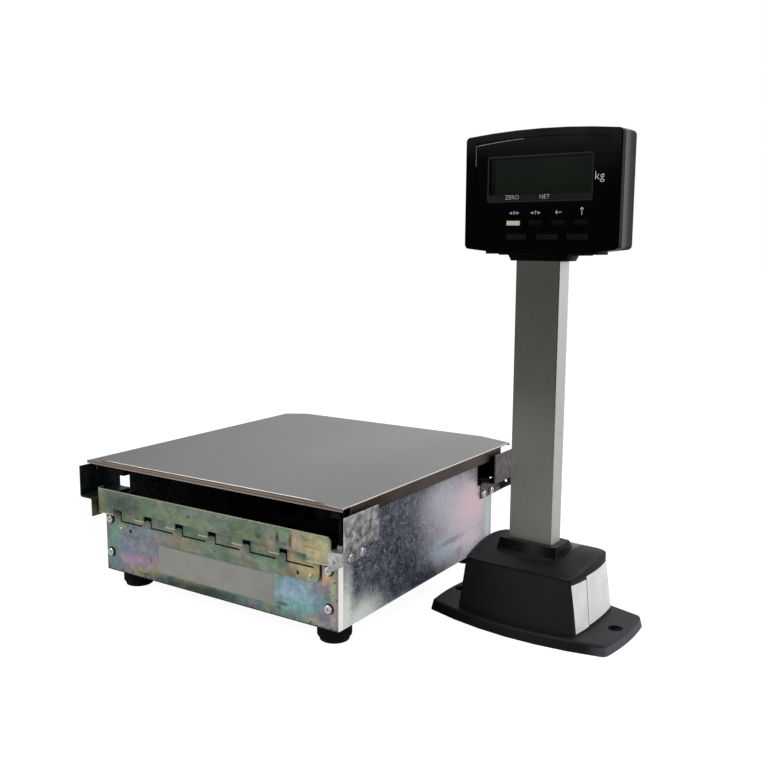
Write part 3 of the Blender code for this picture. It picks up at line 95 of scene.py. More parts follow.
class Finish:
    """Builds one procedural material, on object coordinates, around a Principled shader."""

    def __init__(self, name, colour, roughness, metallic=0.0, specular=0.5):
        self.material = bpy.data.materials.new(name)
        self.material.use_nodes = True
        self.tree = self.material.node_tree
        self.shader = self.tree.nodes["Principled BSDF"]
        self.shader.inputs["Base Color"].default_value = screen(*colour)
        self.shader.inputs["Roughness"].default_value = roughness
        self.shader.inputs["Metallic"].default_value = metallic
        self.shader.inputs["Specular IOR Level"].default_value = specular
        self.place = self.add("ShaderNodeTexCoord").outputs["Object"]

    def add(self, kind, **settings):
        node = self.tree.nodes.new(kind)
        for name, value in settings.items():
            setattr(node, name, value)
        return node

    def feed(self, node, name, value):
        if isinstance(value, bpy.types.NodeSocket):
            self.tree.links.new(value, node.inputs[name])
        else:
            node.inputs[name].default_value = value

    def stretched(self, scale):
        mapping = self.add("ShaderNodeMapping")
        self.feed(mapping, "Vector", self.place)
        self.feed(mapping, "Scale", scale)
        return mapping.outputs["Vector"]

    def noise(self, scale, detail=3.0, rough=0.5, place=None, distortion=0.0):
        node = self.add("ShaderNodeTexNoise")
        self.feed(node, "Vector", place or self.place)
        self.feed(node, "Scale", scale)
        self.feed(node, "Detail", detail)
        self.feed(node, "Roughness", rough)
        self.feed(node, "Distortion", distortion)
        return node.outputs["Fac"]

    def ramp(self, factor, stops):
        """Stops are a position with a screen colour, or with one level of grey from 0 to 1."""
        node = self.add("ShaderNodeValToRGB")
        elements = node.color_ramp.elements
        while len(elements) < len(stops):
            elements.new(0.5)
        for element, (position, colour) in zip(elements, stops):
            element.position = position
            element.color = screen(*colour) if hasattr(colour, "__len__") else (colour, colour, colour, 1.0)
        self.feed(node, "Fac", factor)
        return node.outputs["Color"]

    def mix(self, factor, first, second, blend="MIX"):
        node = self.add("ShaderNodeMixRGB", blend_type=blend)
        self.feed(node, "Fac", factor)
        self.feed(node, "Color1", first)
        self.feed(node, "Color2", second)
        return node.outputs["Color"]

    def calculate(self, operation, first, second=0.5):
        node = self.add("ShaderNodeMath", operation=operation)
        self.feed(node, 0, first)
        self.feed(node, 1, second)
        return node.outputs[0]

    def coordinate(self, axis):
        node = self.add("ShaderNodeSeparateXYZ")
        self.feed(node, "Vector", self.place)
        return node.outputs[axis]

    def along_display(self, direction):
        """How far a point lies along one of the display's own axes, in metres."""
        away = self.add("ShaderNodeVectorMath", operation="SUBTRACT")
        self.feed(away, 0, self.place)
        self.feed(away, 1, DISPLAY_ORIGIN)
        along = self.add("ShaderNodeVectorMath", operation="DOT_PRODUCT")
        self.feed(along, 0, away.outputs[0])
        self.feed(along, 1, direction)
        return along.outputs["Value"]

    def between(self, value, low, high, start=0.0, end=1.0):
        node = self.add("ShaderNodeMapRange", interpolation_type="SMOOTHSTEP")
        self.feed(node, "Value", value)
        self.feed(node, "From Min", low)
        self.feed(node, "From Max", high)
        self.feed(node, "To Min", start)
        self.feed(node, "To Max", end)
        return node.outputs[0]

    def patch(self, base, centre, reach, colour, strength=1.0, ragged=0.0, scale=60.0):
        """Tints an oval patch: centre and reach in millimetres, on the weighing unit's own axes."""
        middle = Vector(centre) * MM + Vector((UNIT_X, 0.0, 0.0))
        shift = self.add("ShaderNodeVectorMath", operation="SUBTRACT")
        self.feed(shift, 0, self.place)
        self.feed(shift, 1, middle)
        shrink = self.add("ShaderNodeVectorMath", operation="DIVIDE")
        self.feed(shrink, 0, shift.outputs[0])
        self.feed(shrink, 1, Vector(reach) * MM)
        length = self.add("ShaderNodeVectorMath", operation="LENGTH")
        self.feed(length, 0, shrink.outputs[0])
        away = length.outputs["Value"]
        if ragged:
            wobble = self.calculate("SUBTRACT", self.noise(scale, 4.0, 0.65), 0.5)
            away = self.calculate("ADD", away, self.calculate("MULTIPLY", wobble, ragged))
        inside = self.between(away, 0.15, 1.25, strength, 0.0)
        return self.mix(inside, base, screen(*colour))

    def colour(self, value):
        self.feed(self.shader, "Base Color", value)

    def roughness(self, value):
        self.feed(self.shader, "Roughness", value)

    def bump(self, height, strength, distance=0.1 * MM):
        node = self.add("ShaderNodeBump")
        self.feed(node, "Height", height)
        self.feed(node, "Strength", strength)
        self.feed(node, "Distance", distance)
        self.feed(self.shader, "Normal", node.outputs["Normal"])


# From the lower edge of the platter's front lip to its top edge: the lip's colour, pale at its lower edge, with a
# painted shade band just under the top and a painted highlight along the top edge
LIP_TONE_AND_LIGHT_STOPS = [
    (0.00, (196, 186, 178)),
    (0.12, (150, 132, 120)),
    (0.36, (122, 104, 94)),
    (0.58, (166, 152, 140)),
    (0.76, (160, 148, 138)),
    (0.84, (84, 76, 68)),
    (0.93, (76, 70, 62)),
    (0.98, (214, 212, 204)),
]


def brushed_stainless():
    """Warm grey platter sheet, brushed from left to right, taupe where it is folded down, with painted shade on
    its side flanges and towards its right end, and painted highlights along its edges.
    """
    finish = Finish("brushed_stainless", (160, 158, 157), 0.34, 1.0)
    lines = finish.noise(60.0, 4.0, 0.6, finish.stretched((1.0, 40.0, 40.0)))
    clouds = finish.noise(5.0, 3.0)
    base = finish.ramp(clouds, [(0.3, (146, 147, 150)), (0.7, (156, 155, 152))])
    streaks = finish.ramp(lines, [(0.3, 0.93), (0.7, 1.0)])
    sheet = finish.mix(1.0, base, streaks, "MULTIPLY")
    scratches = finish.noise(210.0, 2.0, 0.5, finish.stretched((0.25, 3.0, 1.0)), 0.3)
    sheet = finish.mix(finish.ramp(scratches, [(0.70, 0.0), (0.76, 0.35)]), sheet, screen(196, 196, 198))
    height = finish.coordinate("Z")
    folded = finish.between(height, PLATTER_TOP - 4.6 * MM, PLATTER_TOP - 3.9 * MM, 1.0, 0.0)
    fold_tone_and_shade = finish.ramp(finish.noise(30.0, 4.0, 0.6), [(0.3, (112, 98, 90)), (0.7, (150, 134, 122))])
    across = finish.calculate("ABSOLUTE", finish.calculate("SUBTRACT", finish.coordinate("X"), UNIT_X))
    # painted shade: the side flanges are painted darker
    side = finish.between(across, 178.6 * MM, 179.2 * MM)
    fold_tone_and_shade = finish.mix(finish.calculate("MULTIPLY", side, 0.6), fold_tone_and_shade, screen(70, 62, 59))
    # painted highlight: a near-white line along the platter's side edges
    edge_highlight = finish.calculate("MULTIPLY", finish.between(across, 178.3 * MM, 179.0 * MM), 0.9)
    sheet = finish.mix(edge_highlight, sheet, screen(246, 242, 238))
    surface = finish.mix(folded, sheet, fold_tone_and_shade)
    front = finish.between(finish.coordinate("Y"), -181.5 * MM, -180.9 * MM, 1.0, 0.0)
    surface = finish.mix(front, surface, finish.ramp(finish.between(height, 146.9 * MM, PLATTER_TOP), LIP_TONE_AND_LIGHT_STOPS))
    # painted shade: the sheet is darker towards its right end
    right_end_shade = finish.between(finish.coordinate("X"), UNIT_X + 40.0 * MM, UNIT_X + 180.0 * MM, 1.0, 0.80)
    finish.colour(finish.mix(1.0, surface, right_end_shade, "MULTIPLY"))
    finish.roughness(finish.between(lines, 0.3, 0.7, 0.30, 0.40))
    finish.bump(lines, 0.06)
    return finish.material


def passivate(name, film_stops, seed_scale, patches, bright=None, grubby=None):
    """Zinc under a yellow passivate: an oily film of drifting colours, with specks, scuffs and pale edges.

    Bright and grubby are bands of height, in millimetres: the bright band is painted pale, as a painted highlight
    and rubbed wear, and the grubby one is speckled brown.
    """
    finish = Finish(name, (150, 155, 135), 0.42, 0.5)
    drift = finish.noise(seed_scale, 3.0, 0.55, finish.stretched((1.0, 1.0, 1.8)), 1.4)
    film = finish.ramp(drift, film_stops)
    for centre, reach, colour, strength in patches:
        film = finish.patch(film, centre, reach, colour, strength, 1.1, 34.0)
    fine = finish.noise(130.0, 5.0, 0.7)
    mottle = finish.ramp(fine, [(0.32, 0.64), (0.68, 1.16)])
    film = finish.mix(1.0, film, mottle, "MULTIPLY")
    specks = finish.noise(480.0, 2.0, 0.5)
    dirt = finish.ramp(specks, [(0.25, 0.2), (0.30, 1.0)])
    film = finish.mix(0.75, film, dirt, "MULTIPLY")
    scuffs = finish.noise(70.0, 3.0, 0.7, finish.stretched((1.0, 1.0, 3.0)), 0.6)
    film = finish.mix(finish.ramp(scuffs, [(0.63, 0.0), (0.72, 0.5)]), film, screen(206, 200, 162))
    height = finish.coordinate("Z")
    # painted highlight and rubbed wear: the bright band of height is painted pale
    if bright:
        low, high = bright
        film = finish.mix(finish.between(height, low * MM, high * MM, 0.85, 0.0), film, screen(232, 220, 182))
    if grubby:
        low, high = grubby
        near = finish.between(height, low * MM, high * MM, 1.0, 0.0)
        spots = finish.ramp(finish.noise(240.0, 4.0, 0.7), [(0.50, 0.0), (0.60, 1.0)])
        film = finish.mix(finish.calculate("MULTIPLY", near, spots), film, screen(54, 46, 38))
    finish.colour(film)
    finish.roughness(finish.between(fine, 0.3, 0.7, 0.34, 0.50))
    finish.bump(fine, 0.05)
    return finish


PANEL_STOPS = [
    (0.30, (168, 164, 138)),
    (0.40, (130, 152, 130)),
    (0.48, (124, 158, 156)),
    (0.56, (150, 148, 166)),
    (0.64, (172, 152, 160)),
    (0.72, (166, 170, 132)),
]
RAIL_STOPS = [
    (0.30, (140, 144, 116)),
    (0.42, (112, 136, 112)),
    (0.50, (124, 142, 134)),
    (0.60, (150, 150, 122)),
    (0.70, (168, 146, 124)),
]


def panel_passivate():
    front = -170.0
    patches = [
        ((-129.0, front, 60.0), (24.0, 30.0, 20.0), (150, 154, 180), 0.7),
        ((-112.0, front, 39.0), (38.0, 30.0, 9.0), (196, 162, 188), 0.75),
        ((-150.0, front, 66.0), (11.0, 30.0, 22.0), (130, 178, 150), 0.7),
        ((-101.0, front, 54.0), (14.0, 30.0, 7.0), (146, 176, 164), 0.6),
        ((-20.0, front, 25.0), (90.0, 30.0, 9.0), (56, 70, 54), 0.9),
        ((112.0, front, 49.0), (42.0, 30.0, 24.0), (176, 216, 230), 0.95),
        ((108.0, front, 56.0), (20.0, 30.0, 9.0), (164, 182, 218), 0.6),
        ((120.0, front, 36.0), (28.0, 30.0, 8.0), (134, 204, 190), 0.65),
        ((92.0, front, 62.0), (12.0, 30.0, 10.0), (150, 186, 168), 0.6),
        ((150.0, front, 74.0), (13.0, 30.0, 11.0), (240, 196, 160), 0.85),
        ((138.0, front, 25.0), (26.0, 30.0, 6.0), (190, 194, 158), 0.7),
        ((161.0, front, 38.0), (7.0, 30.0, 22.0), (226, 190, 190), 0.9),
        ((160.0, front, 66.0), (6.0, 30.0, 22.0), (208, 206, 158), 0.8),
        ((97.0, front, 35.3), (9.0, 14.0, 2.4), (58, 52, 42), 0.8),
        ((92.0, front, 30.5), (4.0, 14.0, 3.0), (70, 62, 48), 0.6),
        ((-101.0, front, 26.4), (9.0, 14.0, 1.6), (64, 56, 50), 0.6),
        ((-92.0, front, 44.0), (1.6, 14.0, 7.0), (96, 96, 92), 0.6),
        # painted shade: black on the panel in the first notch of the rail
        ((-143.0, front, 93.5), (10.0, 14.0, 6.5), (8, 8, 8), 1.0),
        # painted shadow: a dark line on the panel beside the strip's right edge
        ((146.2, front, 78.0), (1.3, 14.0, 14.0), (40, 34, 28), 0.95),
    ]
    finish = passivate("panel_passivate", PANEL_STOPS, 9.0, patches, None, (20.0, 28.0))
    film = finish.shader.inputs["Base Color"].links[0].from_socket
    corner = finish.between(finish.coordinate("X"), SIDE_X - 12.0 * MM, SIDE_X - 2.0 * MM)
    low_edge = finish.between(finish.coordinate("Z"), PANEL_LOW.z + 0.7 * MM, PANEL_LOW.z + 1.7 * MM, 0.9, 0.0)
    film = finish.mix(low_edge, film, screen(30, 27, 24))
    rust = finish.ramp(finish.noise(260.0, 4.0, 0.7), [(0.56, 0.0), (0.63, 0.9)])
    film = finish.mix(finish.calculate("MULTIPLY", corner, rust), film, screen(86, 62, 52))
    # painted highlight: the return face on the side is painted near white and not metallic
    lit_return_face = finish.between(finish.coordinate("X"), SIDE_X - 1.2 * MM, SIDE_X - 0.4 * MM)
    finish.colour(finish.mix(lit_return_face, film, screen(253, 254, 248)))
    finish.feed(finish.shader, "Metallic", finish.between(lit_return_face, 0.0, 1.0, 0.5, 0.0))
    return finish.material


def rail_passivate():
    front = -180.5
    patches = [
        ((-160.0, front, 104.0), (9.0, 30.0, 24.0), (170, 170, 128), 0.8),
        ((-126.0, front, 104.0), (36.0, 30.0, 20.0), (72, 84, 82), 0.85),
        ((-30.0, front, 104.0), (50.0, 30.0, 14.0), (136, 156, 124), 0.6),
        ((146.0, front, 106.0), (30.0, 30.0, 20.0), (218, 204, 158), 0.9),
        ((122.0, front, 106.0), (13.0, 30.0, 12.0), (218, 186, 164), 0.65),
        ((106.0, front, 113.0), (13.0, 30.0, 7.0), (146, 184, 140), 0.75),
        ((88.0, front, 100.0), (9.0, 30.0, 12.0), (200, 176, 150), 0.5),
        ((158.0, front, 112.0), (9.0, 30.0, 9.0), (196, 214, 176), 0.6),
        ((74.6, front, 105.2), (4.6, 12.0, 4.0), (84, 74, 60), 0.9),
        ((99.3, front, 108.5), (3.0, 12.0, 8.0), (62, 56, 50), 0.9),
        ((115.7, front, 108.0), (2.8, 12.0, 10.0), (72, 64, 56), 0.85),
        ((108.0, front, 103.5), (8.0, 12.0, 2.2), (110, 96, 82), 0.6),
        ((-22.4, front, 108.7), (3.2, 12.0, 2.4), (96, 64, 40), 0.9),
        ((76.1, front, 113.8), (1.1, 12.0, 1.1), (40, 34, 26), 0.9),
        ((-127.7, front, 108.5), (1.3, 12.0, 1.6), (48, 44, 34), 0.9),
        ((-74.9, front, 113.4), (0.8, 12.0, 1.4), (48, 44, 34), 0.9),
        ((139.0, front, 106.0), (14.0, 12.0, 1.0), (110, 96, 70), 0.6),
        ((136.0, front, 112.0), (5.0, 12.0, 0.9), (96, 84, 66), 0.6),
    ]
    finish = passivate("rail_passivate", RAIL_STOPS, 14.0, patches, (91.2, 92.4))
    film = finish.shader.inputs["Base Color"].links[0].from_socket
    # painted highlight and rubbed wear: a pale line along the rail's top edge
    top_edge_highlight_and_wear = finish.between(finish.coordinate("Z"), 118.9 * MM, 119.5 * MM, 0.0, 0.7)
    finish.colour(finish.mix(top_edge_highlight_and_wear, film, screen(214, 208, 168)))
    return finish.material


def strip_passivate():
    front = -172.0
    patches = [
        ((-100.0, front, 74.0), (44.0, 30.0, 10.0), (150, 158, 176), 0.75),
        ((-139.0, front, 74.0), (8.0, 30.0, 10.0), (160, 178, 150), 0.6),
        ((-7.0, front, 76.0), (34.0, 30.0, 10.0), (138, 164, 138), 0.65),
        ((40.0, front, 80.0), (16.0, 30.0, 12.0), (176, 164, 156), 0.5),
        ((79.0, front, 73.0), (22.0, 30.0, 9.0), (144, 178, 150), 0.75),
        ((128.0, front, 78.0), (20.0, 30.0, 12.0), (226, 206, 150), 0.85),
        ((112.0, front, 84.0), (9.0, 30.0, 12.0), (228, 184, 160), 0.75),
        ((140.0, front, 70.0), (8.0, 30.0, 6.0), (166, 196, 160), 0.7),
        ((-116.0, front, 92.0), (6.0, 30.0, 6.0), (188, 160, 112), 0.6),
        ((7.0, front, 74.0), (1.6, 12.0, 1.2), (46, 42, 34), 0.9),
    ]
    finish = passivate("strip_passivate", RAIL_STOPS, 11.0, patches, (66.2, 67.0))
    film = finish.shader.inputs["Base Color"].links[0].from_socket
    # painted shade: the walls of the hook slots are painted near black
    face_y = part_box("hook_strip")[1].y - SHEET
    inner = finish.between(finish.coordinate("Y"), face_y + 0.05 * MM, face_y + 0.20 * MM)
    below_hooks = finish.between(finish.coordinate("Z"), 98.6 * MM, 99.2 * MM, 1.0, 0.0)
    above_edge = finish.between(finish.coordinate("Z"), 67.2 * MM, 68.0 * MM)
    slot_shade = finish.calculate("MULTIPLY", finish.calculate("MULTIPLY", inner, below_hooks), above_edge)
    finish.colour(finish.mix(slot_shade, film, screen(10, 10, 8)))
    return finish.material


def spangled(name, base_stops, patches, inside=None, metallic=0.42):
    """Galvanised sheet: a fine zinc speckle with small bright flecks, under patches of painted reflection and
    light; inside, when given, paints the inner face in shade.
    """
    finish = Finish(name, (150, 153, 160), 0.30, metallic)
    speckle = finish.noise(90.0, 6.0, 0.78, None, 1.2)
    grain = finish.ramp(speckle, base_stops)
    flecks = finish.ramp(finish.noise(190.0, 3.0, 0.72, None, 2.0), [(0.60, 0.0), (0.66, 0.85)])
    grain = finish.mix(flecks, grain, screen(226, 228, 238))
    for centre, reach, colour, strength, ragged in patches:
        grain = finish.patch(grain, centre, reach, colour, strength, ragged, 26.0)
    # painted shade: the inner face, inward of the inside band, is painted dark
    if inside:
        low, high = inside
        grain = finish.mix(finish.between(finish.coordinate("X"), low, high), screen(34, 36, 40), grain)
    finish.colour(grain)
    finish.roughness(finish.between(speckle, 0.3, 0.7, 0.24, 0.42))
    finish.bump(speckle, 0.08)
    return finish.material


GREY_ZINC = [(0.34, (128, 131, 140)), (0.50, (156, 158, 166)), (0.66, (186, 188, 194))]
# painted reflection: a darker copy of the grey zinc, for the right panel's dark middle
DARK_REFLECTION_ZINC = [(0.34, (44, 48, 60)), (0.46, (84, 90, 106)), (0.56, (112, 114, 128)), (0.66, (170, 172, 186))]


def right_side_zinc():
    side = 166.0
    # painted reflection and light on the right panel: pale glows at the front, pink and lavender light towards
    # the back, and two darker spots for the stand's reflection
    patches = [
        ((side, 100.0, 80.0), (60.0, 112.0, 76.0), (214, 206, 216), 0.93, 0.5),
        ((side, 30.0, 106.0), (60.0, 56.0, 26.0), (196, 196, 208), 0.75, 0.4),
        ((side, 104.0, 88.0), (60.0, 40.0, 34.0), (236, 204, 214), 0.85, 0.2),
        ((side, 126.0, 84.0), (60.0, 18.0, 26.0), (232, 214, 206), 0.5, 0.2),
        ((side, 152.0, 60.0), (60.0, 10.0, 50.0), (200, 220, 220), 0.8, 0.2),
        ((side, 33.0, 47.0), (60.0, 34.0, 16.0), (190, 212, 228), 0.85, 0.7),
        ((side, 100.0, 44.0), (60.0, 50.0, 14.0), (224, 210, 222), 0.6, 0.3),
        ((side, -132.0, 20.0), (60.0, 56.0, 27.0), (246, 255, 248), 1.0, 0.9),
        ((side, -156.0, 40.0), (60.0, 15.0, 52.0), (250, 255, 250), 1.0, 0.7),
        ((side, -50.0, 14.0), (60.0, 60.0, 12.0), (206, 226, 224), 0.8, 0.8),
        ((side, 56.0, 53.0), (60.0, 40.0, 4.5), (96, 90, 100), 0.5, 0.4),
        ((side, 78.0, 36.0), (60.0, 12.0, 6.0), (88, 84, 92), 0.4, 0.5),
    ]
    # painted shade for the panel's inner face
    inside = (SIDE_X - 1.45 * MM, SIDE_X - 0.5 * MM)
    return spangled("right_side_zinc", DARK_REFLECTION_ZINC, patches, inside)


def left_side_zinc():
    return spangled("left_side_zinc", GREY_ZINC, [])


def clear_zinc():
    """Bright zinc on screws."""
    finish = Finish("clear_zinc", (196, 197, 200), 0.24, 0.7)
    fine = finish.noise(240.0, 4.0, 0.6)
    finish.colour(finish.ramp(fine, [(0.3, (196, 198, 202)), (0.7, (244, 244, 248))]))
    finish.roughness(finish.between(fine, 0.3, 0.7, 0.18, 0.34))
    finish.bump(fine, 0.06)
    return finish.material


def front_screw_zinc():
    """The same zinc, with painted shade in the cross recess and round the edge of the head."""
    finish = Finish("front_screw_zinc", (196, 197, 200), 0.24, 0.7)
    fine = finish.noise(240.0, 4.0, 0.6)
    head_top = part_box("front_screw_1")[0].y - 0.5 * MM
    recess_shade = finish.between(finish.coordinate("Y"), head_top + 0.6 * MM, head_top + 1.5 * MM, 0.0, 0.85)
    clean = finish.ramp(fine, [(0.3, (196, 198, 202)), (0.7, (250, 250, 252))])
    finish.colour(finish.mix(recess_shade, clean, screen(38, 40, 38)))
    finish.roughness(finish.between(fine, 0.3, 0.7, 0.18, 0.34))
    finish.bump(fine, 0.06)
    return finish.material


def bracket_zinc(name, tint, patches=()):
    """Dull zinc of the folded brackets, with stains."""
    finish = Finish(name, tint, 0.40, 0.85)
    fine = finish.noise(120.0, 5.0, 0.7)
    low = tuple(value * 0.70 for value in tint)
    high = tuple(min(255, value * 1.26) for value in tint)
    surface = finish.ramp(fine, [(0.32, low), (0.68, high)])
    flecks = finish.ramp(finish.noise(90.0, 3.0, 0.75), [(0.63, 0.0), (0.70, 0.5)])
    surface = finish.mix(flecks, surface, screen(*(min(255, value * 1.4) for value in tint)))
    for centre, reach, colour, strength in patches:
        surface = finish.patch(surface, centre, reach, colour, strength)
    finish.colour(surface)
    finish.roughness(finish.between(fine, 0.3, 0.7, 0.32, 0.48))
    finish.bump(fine, 0.10)
    return finish.material


FRONT_LEFT_PATCHES = (
    ((-180.0, -170.0, 90.0), (30.0, 90.0, 14.5), (150, 158, 118), 1.0),
    # painted reflection: a teal patch on the bracket's inner face
    ((-167.0, -134.0, 128.0), (14.0, 9.0, 12.0), (40, 110, 96), 0.8),
)


def black_paint(name="black_paint"):
    finish = Finish(name, (8, 9, 9), 0.6, 0.0, 0.12)
    fine = finish.noise(260.0, 3.0)
    finish.roughness(finish.between(fine, 0.3, 0.7, 0.5, 0.7))
    finish.bump(fine, 0.15)
    return finish.material


def machined_alloy():
    finish = Finish("machined_alloy", (186, 187, 190), 0.32, 1.0)
    lines = finish.noise(80.0, 3.0, 0.6, finish.stretched((1.0, 1.0, 30.0)))
    finish.colour(finish.ramp(lines, [(0.3, (160, 161, 165)), (0.7, (196, 197, 200))]))
    finish.bump(lines, 0.06)
    return finish.material


def column_anodised():
    """Satin anodised tube, drawn along its length, with painted shade on its broad faces, darker towards the top,
    and a painted highlight on its narrow ones.
    """
    finish = Finish("column_anodised", (170, 171, 166), 0.42, 0.7)
    lines = finish.noise(90.0, 3.0, 0.6, finish.stretched((12.0, 12.0, 0.4)))
    broad = finish.ramp(lines, [(0.35, (128, 130, 121)), (0.65, (134, 136, 127))])
    # painted shade: the broad faces darken towards the top
    rise = finish.between(finish.coordinate("Z"), 110.0 * MM, COLUMN_HIGH.z, 0.0, 1.0)
    shade = finish.ramp(rise, [(0.0, 1.0), (0.5, 0.42), (1.0, 0.20)])
    broad = finish.mix(1.0, broad, shade, "MULTIPLY")
    # painted highlight: both narrow faces are painted pale
    outward = finish.calculate("ABSOLUTE", finish.along_display(DISPLAY_RIGHT))
    narrow = finish.between(outward, 23.9 * MM, 24.6 * MM)
    finish.colour(finish.mix(narrow, broad, screen(198, 199, 197)))
    finish.roughness(finish.between(lines, 0.3, 0.7, 0.38, 0.48))
    finish.bump(lines, 0.02)
    return finish.material


def soft_rubber():
    finish = Finish("soft_rubber", (16, 16, 16), 0.8, 0.0, 0.3)
    finish.bump(finish.noise(500.0, 2.0), 0.2)
    return finish.material


def textured_plastic(name="textured_plastic", colour=(24, 25, 27), rough=0.52, specular=0.35):
    """Moulded plastic with a fine spark-eroded grain, painted darker below its foot line as painted shade, and
    brighter at its right end as painted light.
    """
    finish = Finish(name, colour, rough, 0.0, specular)
    grain = finish.noise(1400.0, 2.0, 0.6)
    clouds = finish.noise(14.0, 3.0)
    lighter = tuple(value * 1.15 for value in colour)
    surface = finish.ramp(clouds, [(0.3, colour), (0.7, lighter)])
    # painted shade and light: darker below the foot line, brighter at the right end
    foot = finish.between(finish.coordinate("Z"), 7.0 * MM, 10.0 * MM)
    lit_end = finish.between(finish.along_display(DISPLAY_RIGHT), 80.0 * MM, 100.0 * MM, 0.2, 9.0)
    shade = finish.mix(foot, finish.mix(1.0, lit_end, screen(255, 255, 255), "MULTIPLY"), screen(255, 255, 255))
    finish.colour(finish.mix(1.0, surface, shade, "MULTIPLY"))
    finish.roughness(finish.between(grain, 0.3, 0.7, rough - 0.06, rough + 0.08))
    finish.bump(grain, 0.22, 0.05 * MM)
    return finish.material


# From the display's face backwards, over 40 mm: painted shade on the face, a painted highlight just behind its
# edge, then painted shade deepening towards the back
HEAD_LIGHT_STOPS = [
    (0.040, (3, 3, 4)),
    (0.075, (112, 113, 112)),
    (0.120, (92, 93, 92)),
    (0.300, (80, 80, 81)),
    (0.550, (42, 42, 43)),
    (1.000, (26, 26, 27)),
]


def head_shell():
    """The head's case: painted shade on its face, a painted highlight just behind the face's edge, and darker
    towards the back as painted shade.
    """
    finish = Finish("head_shell", (30, 30, 31), 0.5, 0.0, 0.05)
    depth = finish.between(finish.along_display(DISPLAY_BACK), FACE_Y, FACE_Y + 40.0 * MM)
    finish.colour(finish.ramp(depth, HEAD_LIGHT_STOPS))
    grain = finish.noise(1400.0, 2.0, 0.6)
    shine = finish.ramp(depth, [(0.04, 0.24), (0.07, 1.0)])
    finish.roughness(finish.calculate("MULTIPLY", shine, finish.between(grain, 0.3, 0.7, 0.44, 0.58)))
    finish.bump(grain, 0.10, 0.02 * MM)
    return finish.material


def cap_plastic():
    """The stand's cap, with its collar darker than its slopes."""
    finish = Finish("cap_plastic", (8, 8, 9), 0.46, 0.0, 0.16)
    height = finish.coordinate("Z")
    collar = finish.between(height, 77.8 * MM, 78.8 * MM)
    rim = finish.between(height, 88.2 * MM, 88.9 * MM, 1.0, 0.0)
    across = finish.calculate("ABSOLUTE", finish.along_display(DISPLAY_RIGHT))
    near = finish.between(across, 38.5 * MM, 39.5 * MM, 1.0, 0.0)
    wall = finish.calculate("MULTIPLY", finish.calculate("MULTIPLY", collar, rim), near)
    finish.colour(finish.mix(wall, screen(9, 9, 10), screen(1, 1, 1)))
    grain = finish.noise(1400.0, 2.0, 0.6)
    shine = finish.between(wall, 0.0, 1.0, 1.0, 0.4)
    finish.roughness(finish.calculate("MULTIPLY", shine, finish.between(grain, 0.3, 0.7, 0.40, 0.54)))
    finish.bump(grain, 0.22, 0.05 * MM)
    return finish.material


def gloss_black(name="gloss_black", rough=0.12, colour=(5, 5, 8), specular=0.18):
    finish = Finish(name, colour, rough, 0.0, specular)
    haze = finish.noise(30.0, 3.0)
    finish.roughness(finish.between(haze, 0.3, 0.7, rough * 0.8, rough * 1.5))
    return finish.material


def crystal_glass():
    """The unlit liquid crystal, dark grey-green, with the black gap of its seal at the left."""
    finish = Finish("crystal_glass", (20, 28, 21), 0.22, 0.0, 0.03)
    clouds = finish.noise(20.0, 2.0)
    pane = finish.ramp(clouds, [(0.3, (10, 19, 12)), (0.7, (17, 28, 19))])
    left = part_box("lcd_glass")[0].x
    inner = finish.between(finish.coordinate("X"), left + 5.5 * MM, left + 8.0 * MM)
    finish.colour(finish.mix(inner, screen(4, 5, 5), pane))
    return finish.material


def plain(name, colour, roughness, scale=300.0, strength=0.05, metallic=0.0, specular=0.4):
    """One colour with a fine grain, for printing, plates and keys."""
    finish = Finish(name, colour, roughness, metallic, specular)
    grain = finish.noise(scale, 2.0)
    finish.roughness(finish.between(grain, 0.3, 0.7, roughness * 0.9, roughness * 1.1))
    finish.bump(grain, strength)
    return finish.material


def label_film(name, colour):
    """Pale self-adhesive film, a little dusty."""
    finish = Finish(name, colour, 0.45)
    dust = finish.noise(40.0, 4.0, 0.6)
    low = tuple(value * 0.93 for value in colour)
    finish.colour(finish.ramp(dust, [(0.3, low), (0.6, colour)]))
    finish.bump(finish.noise(25.0, 2.0), 0.15, 0.3 * MM)
    return finish.material


